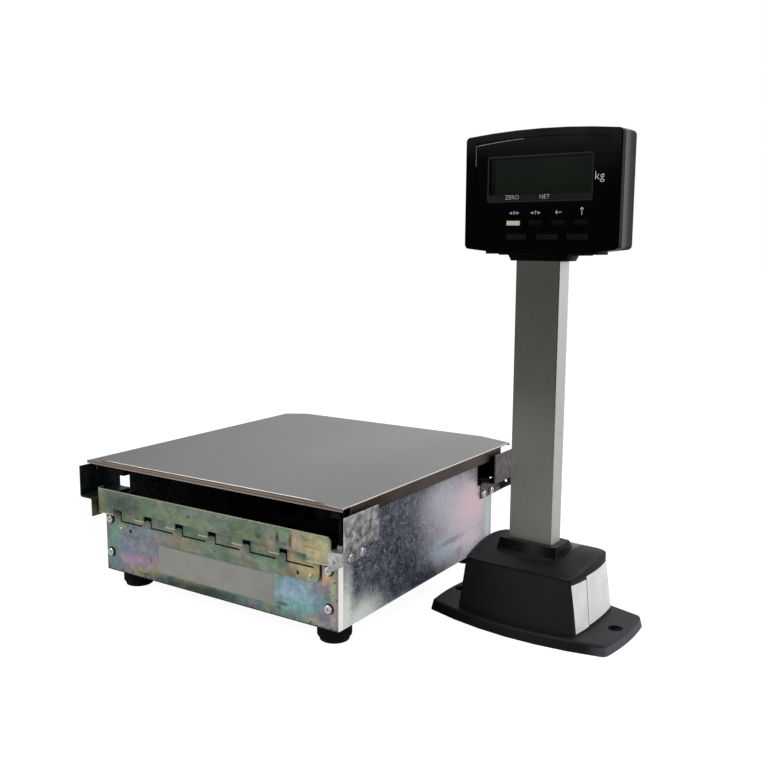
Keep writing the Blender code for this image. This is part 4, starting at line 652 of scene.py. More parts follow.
FINISHES = {
    "stainless": brushed_stainless(),
    "yellow_zinc": panel_passivate(),
    "galvanised": left_side_zinc(),
    "zinc": clear_zinc(),
    "front_zinc": front_screw_zinc(),
    "black_steel": black_paint(),
    "cell_alloy": black_paint("cell_paint"),
    "column_alloy": column_anodised(),
    "rubber": soft_rubber(),
    "stand_plastic": textured_plastic(colour=(17, 18, 20), specular=0.24),
    "cap_plastic": cap_plastic(),
    "head_plastic": head_shell(),
    "gloss_plastic": gloss_black(colour=(3, 3, 5), specular=0.03),
    "glass_frame": plain("glass_frame", (19, 14, 11), 0.4, specular=0.06),
    "window_line": plain("window_line", (48, 41, 34), 0.4, specular=0.1),
    "catch_light": plain("catch_light", (120, 128, 130), 0.3),
    "glass": crystal_glass(),
    "board": plain("circuit_board", (18, 92, 52), 0.45),
    "key_zero": plain("pale_key", (188, 180, 158), 0.35),
    "key_dark": gloss_black("dark_key", 0.2, (6, 6, 8), 0.06),
    "rail": rail_passivate(),
    "strip": strip_passivate(),
    "right_side": right_side_zinc(),
    # painted shade: the pan's zinc is painted near black, as the shaded inside
    "pan": spangled("shaded_pan_zinc", [(0.3, (26, 28, 32)), (0.7, (44, 47, 52))], []),
    # Three tints of one bracket zinc: the rear ones and the front left one are painted in shade.
    "bracket_front": bracket_zinc("front_bracket_zinc", (188, 189, 190)),
    "bracket_dark": bracket_zinc("shaded_bracket_zinc", (104, 97, 100)),
    "bracket_deep_shade": bracket_zinc("deep_shade_bracket_zinc", (60, 66, 68), FRONT_LEFT_PATCHES),
    "front_label": label_film("front_label_film", (154, 153, 147)),
    "side_label": label_film("side_label_film", (224, 224, 227)),
    "white_print": plain("white_print", (214, 216, 218), 0.5),
    "dim_print": plain("dim_print", (186, 180, 172), 0.5),
    "dark_plate": plain("dark_plate", (13, 11, 10), 0.35, specular=0.04),
    "washer_dark": plain("washer_dark", (30, 32, 30), 0.5),
    "pin_metal": plain("pin_metal", (206, 190, 140), 0.3, metallic=1.0),
}

NODE_FINISHES = {
    "front_rail": "rail",
    "hook_strip": "strip",
    "side_panel_right": "right_side",
    "base_pan": "pan",
    "bracket_front_right": "bracket_front",
    "bracket_front_left": "bracket_deep_shade",
    "stand_cap": "cap_plastic",
    "bracket_rear_left": "bracket_dark",
    "bracket_rear_right": "bracket_dark",
}

RECORD_SLOTS = {part["node"]: part["material_slot"] for part in frame["record"]["subparts"]}


def paint(thing, finish_name):
    thing.data.materials.clear()
    thing.data.materials.append(FINISHES[finish_name])


def round_edges(thing, width, segments=2, angle=30.0):
    """Merges the triangles back into flat faces, then gives every sharp edge a small radius."""
    weld = thing.modifiers.new("weld", "WELD")
    weld.merge_threshold = 0.002 * MM
    flat = thing.modifiers.new("flat_faces", "DECIMATE")
    flat.decimate_type = "DISSOLVE"
    flat.angle_limit = math.radians(0.5)
    if width:
        edge = thing.modifiers.new("edges", "BEVEL")
        edge.width = width
        edge.segments = segments
        edge.limit_method = "ANGLE"
        edge.angle_limit = math.radians(angle)
        edge.harden_normals = False
    for polygon in thing.data.polygons:
        polygon.use_smooth = True
    thing.modifiers.new("shading", "WEIGHTED_NORMAL").keep_sharp = True


EDGE_WIDTHS = {
    "platter": 0.45,
    "front_panel": 0.25,
    "front_rail": 0.3,
    "hook_strip": 0.3,
    "bracket": 0.35,
    "side_panel": 0.25,
    "column": 0.6,
    "head_rear": 0.5,
    "head_front": 0.35,
    "face_plate": 0.3,
    "stand": 0.7,
    "neck": 0.6,
    "key": 0.25,
    "lcd_frame": 0.3,
    "foot_knob": 0.3,
}


def dress_nodes():
    for name, node in NODES.items():
        paint(node, NODE_FINISHES.get(name, RECORD_SLOTS[name]))
        width = next((size for start, size in EDGE_WIDTHS.items() if name.startswith(start)), 0.2)
        round_edges(node, width * MM)


def deselect():
    if bpy.context.mode != "OBJECT":
        bpy.ops.object.mode_set(mode="OBJECT")
    bpy.ops.object.select_all(action="DESELECT")


def select_only(thing):
    deselect()
    thing.select_set(True)
    bpy.context.view_layer.objects.active = thing


def start(kind, name, **settings):
    """Adds a primitive and leaves it as the active object."""
    deselect()
    getattr(bpy.ops.mesh, f"primitive_{kind}_add")(**settings)
    thing = bpy.context.object
    thing.name = name
    return thing


def pick(thing, kind, test):
    """In edit mode, selects only the faces or edges that pass the test."""
    if thing.mode != "EDIT":
        select_only(thing)
        bpy.ops.object.mode_set(mode="EDIT")
    bpy.ops.mesh.select_mode(type=kind)
    bpy.ops.mesh.select_all(action="DESELECT")
    shape = bmesh.from_edit_mesh(thing.data)
    for item in shape.faces if kind == "FACE" else shape.edges:
        if test(item):
            item.select_set(True)
    shape.select_flush(True)
    bmesh.update_edit_mesh(thing.data)


def finish_editing():
    bpy.ops.object.mode_set(mode="OBJECT")


def apply_modifiers(thing):
    select_only(thing)
    for modifier in list(thing.modifiers):
        bpy.ops.object.modifier_apply(modifier=modifier.name)


def smooth(thing, degrees=35.0):
    select_only(thing)
    bpy.ops.object.shade_smooth_by_angle(angle=math.radians(degrees))


def settle(thing, place, finish_name, body="body"):
    """Puts the piece's place into its mesh, then paints it and lets it ride on a body."""
    thing.data.transform(place @ thing.matrix_world)
    thing.matrix_world = Matrix.Identity(4)
    thing.data.update()
    paint(thing, finish_name)
    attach(thing, body)
    return thing


def copy_of(master, name):
    thing = master.copy()
    thing.data = master.data.copy()
    thing.name = name
    bpy.context.scene.collection.objects.link(thing)
    return thing


def facing(place, outward, spin=0.0):
    """A frame at a place whose Z axis points outwards."""
    turn = Vector((0, 0, 1)).rotation_difference(Vector(outward)).to_matrix().to_4x4()
    return Matrix.Translation(place) @ turn @ Matrix.Rotation(math.radians(spin), 4, "Z")


SCREW_HEAD_RADIUS = 4.5 * MM
SCREW_HEAD = 2.9 * MM
SCREW_RADIUS = 1.9 * MM
SCREW_LENGTH = 8.5 * MM
RECESS_REACH = 2.5 * MM
RECESS_WIDTH = 1.15 * MM
RECESS_DEPTH = 1.6 * MM


def cross_cutter():
    """Two tapered bars, crossed, that cut the driver's recess."""
    bars = []
    for turn in (0.0, 90.0):
        bar = start("cube", "recess_bar", size=1.0)
        bar.data.transform(Matrix.Diagonal((2 * RECESS_REACH, RECESS_WIDTH, 2 * RECESS_DEPTH, 1.0)))
        pick(bar, "FACE", lambda face: face.normal.z < -0.9)
        bpy.ops.transform.resize(value=(0.35, 0.6, 1.0))
        finish_editing()
        bar.data.transform(Matrix.Rotation(math.radians(turn), 4, "Z"))
        bars.append(bar)
    joined = bars[0].modifiers.new("both_bars", "BOOLEAN")
    joined.operation = "UNION"
    joined.object = bars[1]
    apply_modifiers(bars[0])
    bpy.data.objects.remove(bars[1])
    return bars[0]


def screw_master():
    """A pan-head screw with a cross recess, head outwards along Z, its seat at the origin."""
    screw = start("cylinder", "screw_master", vertices=28, radius=SCREW_HEAD_RADIUS, depth=SCREW_HEAD)
    screw.data.transform(Matrix.Translation((0.0, 0.0, SCREW_HEAD / 2)))
    pick(screw, "EDGE", lambda edge: min(v.co.z for v in edge.verts) > SCREW_HEAD * 0.9)
    bpy.ops.mesh.bevel(offset=1.25 * MM, segments=4, profile=0.55)
    pick(screw, "FACE", lambda face: face.normal.z < -0.9)
    bpy.ops.mesh.inset(thickness=SCREW_HEAD_RADIUS - SCREW_RADIUS)
    bpy.ops.mesh.extrude_region_move(TRANSFORM_OT_translate={"value": (0.0, 0.0, -SCREW_LENGTH)})
    finish_editing()
    cutter = cross_cutter()
    cutter.data.transform(Matrix.Translation((0.0, 0.0, SCREW_HEAD)))
    recess = screw.modifiers.new("recess", "BOOLEAN")
    recess.operation = "DIFFERENCE"
    recess.object = cutter
    apply_modifiers(screw)
    bpy.data.objects.remove(cutter)
    smooth(screw)
    return screw


def middle_of(node):
    low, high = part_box(node)
    return (low + high) / 2


def washer_master():
    """A thin dark washer that shows as a ring round a screw's head, standing in partly for the shade there."""
    washer = start("cylinder", "washer_master", vertices=28, radius=5.6 * MM, depth=0.5 * MM)
    washer.data.transform(Matrix.Translation((0.0, 0.0, 0.05 * MM)))
    for top in (True, False):
        pick(washer, "FACE", lambda face: face.normal.z > 0.9 if top else face.normal.z < -0.9)
        bpy.ops.mesh.inset(thickness=5.6 * MM - SCREW_RADIUS - 0.2 * MM)
    pick(washer, "FACE", lambda face: abs(face.normal.z) > 0.9 and face.calc_center_median().xy.length < 0.1 * MM)
    bpy.ops.mesh.bridge_edge_loops()
    finish_editing()
    smooth(washer)
    return washer


def fit_screws():
    """Detailed screws in place of the plain ones, and those of the back panel and the display head."""
    master = screw_master()
    washer = washer_master()
    spin = 12.0
    gap = 0.3 * MM
    for name in sorted(NODES):
        if "screw" not in name:
            continue
        low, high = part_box(name)
        place = (low + high) / 2
        if name.startswith("front"):
            outward = Vector((0, -1, 0))
            place.y = low.y + 2.4 * MM
        elif name == "rail_screw" or "left" in name:
            outward = Vector((-1, 0, 0))
            place.x = low.x + 2.4 * MM
        else:
            outward = Vector((1, 0, 0))
            place.x = high.x - 2.4 * MM
        screw = copy_of(master, f"{name}_driven")
        finish_name = "front_zinc" if name.startswith("front") else "zinc"
        settle(screw, facing(place, outward, spin), finish_name)
        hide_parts(name)
        if name.startswith("front"):
            ring = copy_of(washer, f"{name}_washer")
            settle(ring, facing(place, outward), "washer_dark")
        spin += 37.0
    for count in range(1, 5):
        place = middle_of(f"front_screw_{count}")
        place.y = BACK_Y + gap
        screw = copy_of(master, f"back_screw_{count}")
        settle(screw, facing(place, (0, 1, 0), spin), "zinc")
        spin += 37.0
    for count, (x, z) in enumerate(((-70.0, 406.8), (70.0, 406.8), (-70.0, 491.8), (70.0, 491.8)), 1):
        screw = copy_of(master, f"head_screw_{count}")
        screw.data.transform(Matrix.Diagonal((0.8, 0.8, 0.5, 1.0)))
        place = Vector((x, 17.9, z)) * MM
        settle(screw, DISPLAY_FRAME @ facing(place, (0, 1, 0), spin), "black_steel")
        spin += 37.0
    bpy.data.objects.remove(master)
    bpy.data.objects.remove(washer)


def fit_rivets():
    """Domed rivets: two in the strip's ends, and those of the right side panel."""
    rivet = start("cylinder", "rivet_master", vertices=20, radius=1.9 * MM, depth=1.0 * MM)
    rivet.data.transform(Matrix.Translation((0.0, 0.0, 0.5 * MM)))
    pick(rivet, "EDGE", lambda edge: min(v.co.z for v in edge.verts) > 0.9 * MM)
    bpy.ops.mesh.bevel(offset=0.7 * MM, segments=3, profile=0.6)
    finish_editing()
    smooth(rivet, 60.0)
    strip_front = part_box("hook_strip")[1].y
    strip_face = -172.0 * MM
    places = []
    for x in (-136.2, 134.5):
        places.append((Vector((UNIT_X + x * MM, strip_face, 73.8 * MM)), (0, -1, 0), 1.0))
    for y, z, size in ((-7.4, 91.5, 0.75), (5.9, 91.8, 0.75), (-52.3, 101.4, 0.5), (-87.2, 80.5, 0.55)):
        places.append((Vector((SIDE_X, y * MM, z * MM)), (1, 0, 0), size))
    for count, (place, outward, size) in enumerate(places, 1):
        piece = copy_of(rivet, f"rivet_{count}")
        piece.data.transform(Matrix.Scale(size, 4))
        settle(piece, facing(place, outward), "zinc")
    bpy.data.objects.remove(rivet)


def film_plate(name, width, height, thickness, corner):
    """A thin plate with round corners, facing along Z."""
    plate = start("plane", name, size=1.0)
    plate.data.transform(Matrix.Diagonal((width, height, 1.0, 1.0)))
    pick(plate, "FACE", lambda face: True)
    bpy.ops.mesh.bevel(offset=corner, segments=5, affect="VERTICES")
    finish_editing()
    wall = plate.modifiers.new("wall", "SOLIDIFY")
    wall.thickness = thickness
    wall.offset = 1.0
    apply_modifiers(plate)
    return plate


def fit_front_label():
    plate = film_plate("front_label", 164 * MM, 31.5 * MM, 0.2 * MM, 2.0 * MM)
    place = Vector((UNIT_X + 3.0 * MM, FRONT_Y - 0.05 * MM, 48.2 * MM))
    upright = Matrix.Translation(place) @ Matrix.Rotation(math.radians(90), 4, "X")
    settle(plate, upright, "front_label")


def fit_side_labels():
    """Two bare films on the right end of the stand, laid on its curved and leaning wall."""
    wall = NODES["stand_housing"]
    stand_up = Matrix.Rotation(math.radians(90), 4, "Z") @ Matrix.Rotation(math.radians(90), 4, "X")
    for name, start_y, end_y, low, high, lift in (
        ("stand_label", -15.2, 43.2, 13.6, 64.4, 0.12),
        ("stand_side_strip", -42.8, -16.6, 12.6, 61.6, 0.30),
    ):
        film = start("grid", name, x_subdivisions=24, y_subdivisions=20, size=1.0)
        film.data.transform(Matrix.Diagonal(((end_y - start_y) * MM, (high - low) * MM, 1.0, 1.0)))
        middle = Vector((90.0, (start_y + end_y) / 2, (low + high) / 2)) * MM
        film.data.transform(Matrix.Translation(middle) @ stand_up)
        film.matrix_world = DISPLAY_FRAME
        cling = film.modifiers.new("cling", "SHRINKWRAP")
        cling.target = wall
        cling.wrap_method = "PROJECT"
        cling.use_project_x = True
        cling.use_positive_direction = False
        cling.use_negative_direction = True
        cling.wrap_mode = "ABOVE_SURFACE"
        cling.offset = lift * MM
        thick = film.modifiers.new("thickness", "SOLIDIFY")
        thick.thickness = 0.12 * MM
        apply_modifiers(film)
        smooth(film)
        settle(film, Matrix.Identity(4), "side_label")


def printed(name, words, size, x, z, finish_name="white_print", depth=FACE_Y):
    """Words printed on the display's face, in its own frame."""
    deselect()
    bpy.ops.object.text_add()
    text = bpy.context.object
    text.name = name
    text.data.body = words
    text.data.size = size * MM
    text.data.align_x = "CENTER"
    text.data.align_y = "CENTER"
    text.data.extrude = 0.04 * MM
    text.data.offset = -0.016 * size * MM
    text.data.resolution_u = 3
    bpy.ops.object.convert(target="MESH")
    text = bpy.context.object
    place = Matrix.Translation((x * MM, depth - 0.05 * MM, z * MM))
    upright = Matrix.Rotation(math.radians(90), 4, "X")
    return settle(text, DISPLAY_FRAME @ place @ upright, finish_name)


def fit_window_line():
    """The thin brown outline round the display's window."""
    low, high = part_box("lcd_frame")
    width, height = 115.6 * MM, 45.4 * MM
    line = start("plane", "window_line", size=1.0)
    line.data.transform(Matrix.Diagonal((width, height, 1.0, 1.0)))
    pick(line, "FACE", lambda face: True)
    bpy.ops.mesh.bevel(offset=2.6 * MM, segments=5, affect="VERTICES")
    pick(line, "FACE", lambda face: True)
    bpy.ops.mesh.inset(thickness=0.5 * MM)
    bpy.ops.mesh.delete(type="FACE")
    finish_editing()
    wall = line.modifiers.new("wall", "SOLIDIFY")
    wall.thickness = 0.1 * MM
    apply_modifiers(line)
    place = Matrix.Translation((-1.2 * MM, FACE_Y - 0.06 * MM, 462.5 * MM))
    settle(line, DISPLAY_FRAME @ place @ Matrix.Rotation(math.radians(90), 4, "X"), "window_line")


def fit_neck():
    """The neck's moulding, which wraps round the front of the column."""
    low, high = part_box("neck_skirt")
    bottom, top = low.z, high.z
    front, back, half = -17.3 * MM, 9.0 * MM, 35.5 * MM
    neck = start("cube", "neck_moulding", size=1.0)
    neck.data.transform(Matrix.Diagonal((2 * half, back - front, top - bottom, 1.0)))
    pick(neck, "FACE", lambda face: face.normal.z < -0.9)
    bpy.ops.transform.resize(value=(0.86, 0.93, 1.0))
    bpy.ops.mesh.extrude_region_move(TRANSFORM_OT_translate={"value": (0.0, 0.0, -0.01 * MM)})
    bpy.ops.transform.resize(value=(0.985, 0.97, 1.0))
    pick(neck, "EDGE", lambda edge: max(v.co.z for v in edge.verts) < 0.0 or abs(edge.verts[0].co.z - edge.verts[1].co.z) > MM)
    bpy.ops.mesh.bevel(offset=0.8 * MM, segments=2, clamp_overlap=True)
    finish_editing()
    middle = Vector((0.0, (front + back) / 2, (bottom + top) / 2))
    neck.data.transform(Matrix.Translation(middle))
    hole = start("cube", "column_hole", size=1.0)
    hole.data.transform(Matrix.Diagonal((50.2 * MM, 22.6 * MM, 60 * MM, 1.0)))
    hole.data.transform(Matrix.Translation((0.0, COLUMN_LOCAL_Y, (bottom + top) / 2)))
    opening = neck.modifiers.new("opening", "BOOLEAN")
    opening.operation = "DIFFERENCE"
    opening.object = hole
    apply_modifiers(neck)
    bpy.data.objects.remove(hole)
    smooth(neck)
    settle(neck, DISPLAY_FRAME, "gloss_plastic")
    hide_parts("neck_skirt")


def printed_arrow(name, x, z, turn, length, barb):
    """A thin arrow printed on the display's face, pointing right before it is turned."""
    stroke = 0.44 * MM
    bars = []
    for size, angle in ((length, 0.0), (barb, 135.0), (barb, -135.0)):
        bar = start("plane", "bar", size=1.0)
        bar.data.transform(Matrix.Diagonal((size * MM, stroke, 1.0, 1.0)))
        bar.data.transform(Matrix.Translation((size * MM / 2, 0.0, 0.0)))
        bar.data.transform(Matrix.Rotation(math.radians(angle), 4, "Z"))
        if angle:
            bar.data.transform(Matrix.Translation((length * MM, 0.0, 0.0)))
        bars.append(bar)
    deselect()
    for bar in bars:
        bar.select_set(True)
    bpy.context.view_layer.objects.active = bars[0]
    bpy.ops.object.join()
    mark = bpy.context.object
    mark.name = name
    mark.data.transform(Matrix.Translation((-length * MM / 2, 0.0, 0.0)))
    wall = mark.modifiers.new("wall", "SOLIDIFY")
    wall.thickness = 0.06 * MM
    apply_modifiers(mark)
    place = Matrix.Translation((x * MM, FACE_Y - 0.08 * MM, z * MM))
    upright = Matrix.Rotation(math.radians(90), 4, "X") @ Matrix.Rotation(math.radians(turn), 4, "Z")
    return settle(mark, DISPLAY_FRAME @ place @ upright, "white_print")


def fit_catch_light():
    """A painted highlight: pale lines on the upper left corner of the lens's moulded edge."""
    line = start("plane", "lens_corner_highlight", size=1.0)
    line.data.transform(Matrix.Diagonal((0.5 * MM, 20.0 * MM, 1.0, 1.0)))
    line.data.transform(Matrix.Translation((-73.4 * MM, 486.6 * MM, 0.0)))
    pick(line, "EDGE", lambda edge: min(v.co.x for v in edge.verts) > -73.2 * MM)
    bpy.ops.mesh.select_all(action="DESELECT")
    finish_editing()
    pick(line, "EDGE", lambda edge: min(v.co.y for v in edge.verts) > 496.5 * MM)
    bpy.ops.mesh.extrude_region_move(TRANSFORM_OT_translate={"value": (0.3 * MM, 0.5 * MM, 0.0)})
    finish_editing()
    top = start("plane", "lens_top_highlight", size=1.0)
    top.data.transform(Matrix.Diagonal((15.0 * MM, 0.5 * MM, 1.0, 1.0)))
    top.data.transform(Matrix.Rotation(math.radians(6.6), 4, "Z"))
    top.data.transform(Matrix.Translation((-65.6 * MM, 497.7 * MM, 0.0)))
    pick(top, "EDGE", lambda edge: min(v.co.x for v in edge.verts) > -59.5 * MM)
    for rise in (1.3, 1.0, 0.7):
        bpy.ops.mesh.extrude_region_move(TRANSFORM_OT_translate={"value": (13.0 * MM, rise * MM, 0.0)})
    finish_editing()
    for piece in (line, top):
        wall = piece.modifiers.new("wall", "SOLIDIFY")
        wall.thickness = 0.05 * MM
        apply_modifiers(piece)
        place = Matrix.Translation((0.0, FACE_Y - 0.08 * MM, 0.0)) @ Matrix.Rotation(math.radians(90), 4, "X")
        settle(piece, DISPLAY_FRAME @ place, "catch_light")


def print_face():
    printed("print_zero_lamp", "ZERO", 6.2, -30.3, 444.1, "dim_print", -17.45 * MM)
    printed("print_net_lamp", "NET", 6.2, 6.0, 444.1, "dim_print", -17.45 * MM)
    printed("print_kg", "kg", 11.6, 63.3, 462.3)
    for key, mark, x in (("zero", "0", -27.4), ("tare", "T", -3.4)):
        printed(f"print_{key}", mark, 4.9, x, 428.5)
        printed_arrow(f"print_{key}_arrow_right", x - 3.9, 428.5, 0.0, 3.2, 1.7)
        printed_arrow(f"print_{key}_arrow_left", x + 3.9, 428.5, 180.0, 3.2, 1.7)
    printed_arrow("print_left_arrow", 21.8, 428.7, 180.0, 6.6, 2.5)
    printed_arrow("print_up_arrow", 46.4, 429.4, 90.0, 7.2, 2.5)
    for name, x in (("left", -24.6), ("middle", 9.8), ("right", 42.7)):
        plate = film_plate(f"face_plate_{name}", 23.0 * MM, 5.6 * MM, 0.12 * MM, 0.8 * MM)
        place = Matrix.Translation((x * MM, FACE_Y - 0.02 * MM, 404.8 * MM))
        upright = Matrix.Rotation(math.radians(90), 4, "X")
        settle(plate, DISPLAY_FRAME @ place @ upright, "dark_plate")


def fit_head_feet():
    """Four short ribs under the display head, two on each side of the neck."""
    for count, (x, width, low) in enumerate(
        ((-56.2, 13.0, 387.4), (-41.4, 11.6, 386.4), (41.4, 11.6, 386.4), (56.2, 13.0, 387.4)), 1
    ):
        rib = start("cube", f"head_rib_{count}", size=1.0)
        rib.data.transform(Matrix.Diagonal((width * MM, 24.0 * MM, 3.4 * MM, 1.0)))
        pick(rib, "EDGE", lambda edge: True)
        bpy.ops.mesh.bevel(offset=0.5 * MM, segments=2)
        finish_editing()
        place = Matrix.Translation((x * MM, -0.5 * MM, (low + 1.7) * MM))
        settle(rib, DISPLAY_FRAME @ place, "black_steel")


def fit_rear_crossbar():
    """A black folded sheet above the back panel, partly standing in for the shade inside, and the end plates of
    the rear brackets.
    """
    high_z = 136.8 * MM
    half = SIDE_X - UNIT_X
    for name, start_x, end_x, y, bottom in (
        ("rear_crossbar", -half + 2.7 * MM, half - 2.7 * MM, BACK_Y - 1.0 * MM, 104.7),
        ("bracket_end_left", -half - 18.6 * MM, -half + 2.0 * MM, BACK_Y - 2.6 * MM, 108.2),
        ("bracket_end_right", half - 2.0 * MM, half + 18.6 * MM, BACK_Y - 2.6 * MM, 108.2),
    ):
        bar = start("plane", name, size=1.0)
        low_z = bottom * MM
        bar.data.transform(Matrix.Diagonal((end_x - start_x, high_z - low_z, 1.0, 1.0)))
        pick(bar, "EDGE", lambda edge: min(v.co.y for v in edge.verts) > (high_z - low_z) * 0.49)
        bpy.ops.mesh.extrude_region_move(TRANSFORM_OT_translate={"value": (0.0, 0.0, 5.0 * MM)})
        finish_editing()
        wall = bar.modifiers.new("wall", "SOLIDIFY")
        wall.thickness = 1.0 * MM
        wall.offset = 0.0
        fold = bar.modifiers.new("fold", "BEVEL")
        fold.width = 0.4 * MM
        fold.segments = 2
        apply_modifiers(bar)
        place = Vector((UNIT_X + (start_x + end_x) / 2, y, (low_z + high_z) / 2))
        upright = Matrix.Translation(place) @ Matrix.Rotation(math.radians(90), 4, "X")
        settle(bar, upright, "black_steel")


def fit_corner_stops():
    """Rubber stops on the front corners of the platter's support."""
    for name, x in (("left", -153.0), ("right", 153.0)):
        stop = start("cube", f"corner_stop_{name}", size=1.0)
        stop.data.transform(Matrix.Diagonal((11.0 * MM, 11.0 * MM, 9.0 * MM, 1.0)))
        pick(stop, "FACE", lambda face: face.normal.z > 0.9)
        bpy.ops.mesh.inset(thickness=2.0 * MM)
        bpy.ops.transform.translate(value=(0.0, 0.0, 1.0 * MM))
        pick(stop, "EDGE", lambda edge: abs(edge.verts[0].co.z - edge.verts[1].co.z) > 5.0 * MM)
        bpy.ops.mesh.bevel(offset=1.2 * MM, segments=3)
        finish_editing()
        place = Matrix.Translation((x * MM, -151.0 * MM, 134.6 * MM))
        settle(stop, UNIT_FRAME @ place, "rubber")


def fit_front_stud():
    """A thin stud and its nut on the shelf of the front right bracket."""
    stud = start("cylinder", "front_stud", vertices=14, radius=1.3 * MM, depth=29.0 * MM)
    pick(stud, "EDGE", lambda edge: min(v.co.z for v in edge.verts) > 14.0 * MM)
    bpy.ops.mesh.bevel(offset=0.4 * MM, segments=2)
    finish_editing()
    smooth(stud)
    shelf = 108.6 * MM
    base = Vector((UNIT_X + 171.5 * MM, -173.5 * MM, shelf))
    settle(stud, Matrix.Translation(base + Vector((0.0, 0.0, 14.6 * MM))), "black_steel")
    nut = start("cylinder", "front_stud_nut", vertices=6, radius=3.1 * MM, depth=2.2 * MM)
    pick(nut, "EDGE", lambda edge: True)
    bpy.ops.mesh.bevel(offset=0.3 * MM, segments=2)
    finish_editing()
    settle(nut, Matrix.Translation(base + Vector((0.0, 0.0, 1.3 * MM))), "zinc")


def fit_socket_contacts():
    """Nine pins in the data socket and one in the power socket."""
    pin = start("cylinder", "pin_master", vertices=8, radius=0.5 * MM, depth=5.0 * MM)
    pick(pin, "EDGE", lambda edge: min(v.co.z for v in edge.verts) > 2.4 * MM)
    bpy.ops.mesh.bevel(offset=0.2 * MM, segments=2)
    finish_editing()
    data = middle_of("data_socket")
    power = middle_of("power_socket")
    seat_y = BACK_Y - 3.4 * MM
    places = []
    for row, (count, level) in enumerate(((5, 1.4), (4, -1.4))):
        for i in range(count):
            x = data.x + (i - (count - 1) / 2) * 2.75 * MM
            places.append(Vector((x, seat_y, data.z + level * MM)))
    places.append(Vector((power.x, seat_y, power.z)))
    for count, place in enumerate(places, 1):
        piece = copy_of(pin, f"socket_pin_{count}")
        settle(piece, facing(place, (0, 1, 0)), "pin_metal")
    bpy.data.objects.remove(pin)


def scuff_platter():
    """Two small handling marks near the left and right edges of the platter."""
    for name, x, y, size, turn in (("left", -121.7, 9.0, 7.0, 20.0), ("right", 171.0, 90.0, 4.0, 70.0)):
        mark = start("circle", f"platter_mark_{name}", vertices=24, radius=size * MM, fill_type="NOTHING")
        pick(mark, "EDGE", lambda edge: edge.verts[0].co.y > 0.2 * size * MM)
        bpy.ops.mesh.select_all(action="INVERT")
        bpy.ops.mesh.delete(type="EDGE")
        finish_editing()
        select_only(mark)
        bpy.ops.object.convert(target="CURVE")
        mark = bpy.context.object
        mark.data.bevel_depth = 0.36 * MM
        mark.data.bevel_resolution = 1
        mark.data.use_fill_caps = True
        bpy.ops.object.convert(target="MESH")
        mark = bpy.context.object
        slope = max(0.0, abs(x) - 140.6) * 3.7 / 39.4
        place = Matrix.Translation((x * MM, y * MM, PLATTER_TOP - slope * MM))
        squeeze = Matrix.Rotation(math.radians(turn), 4, "Z") @ Matrix.Diagonal((0.45, 1.0, 0.6, 1.0))
        settle(mark, UNIT_FRAME @ place @ squeeze, "bracket_dark", "platter")


def place_camera():
    data = bpy.data.cameras.new("camera")
    camera = bpy.data.objects.new("camera", data)
    bpy.context.scene.collection.objects.link(camera)
    data.sensor_width = SENSOR
    data.lens = FOCAL_PIXELS * SENSOR / IMAGE_SIZE
    data.clip_start = 0.01
    data.clip_end = 100.0
    back = CAMERA_RIGHT.cross(CAMERA_UP)
    turn = Matrix((CAMERA_RIGHT, CAMERA_UP, back)).transposed().to_4x4()
    camera.matrix_world = Matrix.Translation(CAMERA_PLACE + Vector((UNIT_X, 0.0, 0.0))) @ turn
    bpy.context.scene.camera = camera


def area_light(name, place, target, size, power):
    data = bpy.data.lights.new(name, "AREA")
    data.shape = "RECTANGLE"
    data.size, data.size_y = size
    data.energy = power
    light = bpy.data.objects.new(name, data)
    bpy.context.scene.collection.objects.link(light)
    light.location = place
    light.rotation_euler = (Vector(target) - Vector(place)).to_track_quat("-Z", "Y").to_euler()
    return light


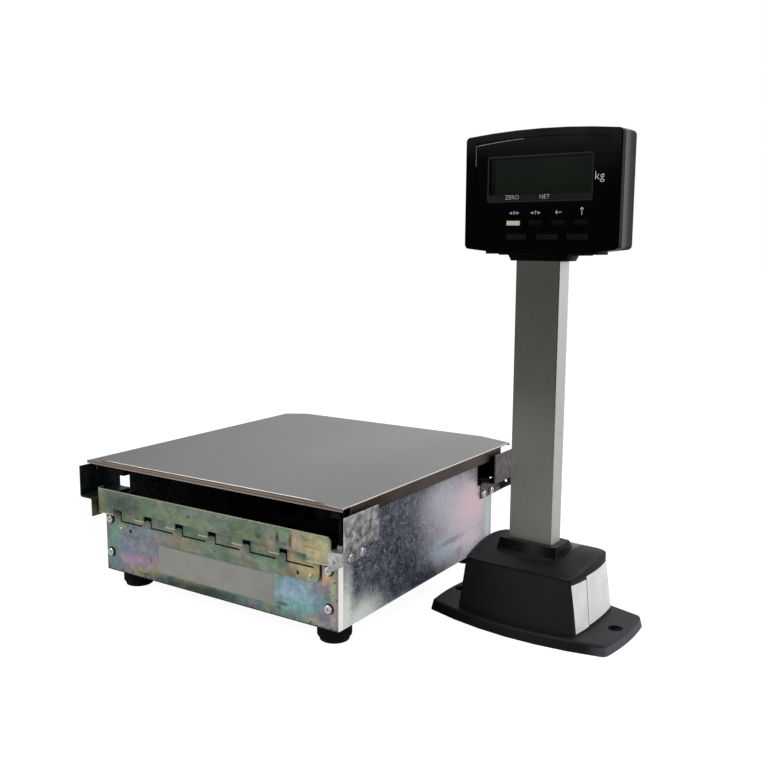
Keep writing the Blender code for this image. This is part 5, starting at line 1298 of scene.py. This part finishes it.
def build_world():
    """Plain white to the camera; to the surfaces, bright at the right and back and dim in front."""
    world = bpy.data.worlds.new("studio")
    bpy.context.scene.world = world
    world.use_nodes = True
    tree = world.node_tree
    background = tree.nodes["Background"]
    direction = tree.nodes.new("ShaderNodeTexCoord").outputs["Generated"]
    dot = tree.nodes.new("ShaderNodeVectorMath")
    dot.operation = "DOT_PRODUCT"
    tree.links.new(direction, dot.inputs[0])
    dot.inputs[1].default_value = Vector((0.45, 0.75, 0.45))
    ramp = tree.nodes.new("ShaderNodeValToRGB")
    tree.links.new(dot.outputs["Value"], ramp.inputs["Fac"])
    ramp.color_ramp.elements[0].position = 0.0
    ramp.color_ramp.elements[0].color = (0.15, 0.15, 0.155, 1.0)
    ramp.color_ramp.elements[1].position = 0.9
    ramp.color_ramp.elements[1].color = (1.1, 1.1, 1.1, 1.0)
    rays = tree.nodes.new("ShaderNodeLightPath")
    mix = tree.nodes.new("ShaderNodeMixRGB")
    tree.links.new(rays.outputs["Is Camera Ray"], mix.inputs["Fac"])
    tree.links.new(ramp.outputs["Color"], mix.inputs["Color1"])
    mix.inputs["Color2"].default_value = (1.0, 1.0, 1.0, 1.0)
    tree.links.new(mix.outputs["Color"], background.inputs["Color"])
    background.inputs["Strength"].default_value = 1.0


def build_floor():
    """A pale floor, lit to white for the camera, that stays dim in reflections."""
    floor = start("plane", "floor", size=14.0, location=(0.0, 0.0, 0.0))
    finish = Finish("pale_floor", (250, 250, 250), 0.9)
    tree = finish.tree
    finish.shader.inputs["Base Color"].default_value = (0.36, 0.36, 0.36, 1.0)
    pale = tree.nodes.new("ShaderNodeBsdfDiffuse")
    pale.inputs["Color"].default_value = (0.16, 0.16, 0.16, 1.0)
    glow = tree.nodes.new("ShaderNodeEmission")
    glow.inputs["Strength"].default_value = 0.95
    both = tree.nodes.new("ShaderNodeAddShader")
    tree.links.new(pale.outputs[0], both.inputs[0])
    tree.links.new(glow.outputs[0], both.inputs[1])
    rays = tree.nodes.new("ShaderNodeLightPath")
    mix = tree.nodes.new("ShaderNodeMixShader")
    tree.links.new(rays.outputs["Is Camera Ray"], mix.inputs[0])
    tree.links.new(finish.shader.outputs[0], mix.inputs[1])
    tree.links.new(both.outputs[0], mix.inputs[2])
    tree.links.new(mix.outputs[0], tree.nodes["Material Output"].inputs["Surface"])
    floor.data.materials.clear()
    floor.data.materials.append(finish.material)


def main():
    bpy.context.scene.view_settings.view_transform = "Standard"
    place_camera()
    build_world()
    build_floor()
    area_light("overhead", (0.0, 0.2, 2.4), (0.0, 0.0, 0.0), (2.6, 2.6), 30.0)
    area_light("right", (2.2, 0.9, 1.1), (0.0, 0.0, 0.15), (1.4, 1.4), 28.0)
    area_light("front", (-1.4, -2.0, 1.5), (0.0, 0.0, 0.10), (1.6, 1.6), 50.0)
    dress_nodes()
    fit_side_labels()
    fit_screws()
    fit_rivets()
    fit_front_label()
    print_face()
    fit_window_line()
    fit_catch_light()
    fit_neck()
    fit_head_feet()
    fit_rear_crossbar()
    fit_corner_stops()
    fit_front_stud()
    fit_socket_contacts()
    scuff_platter()


main()
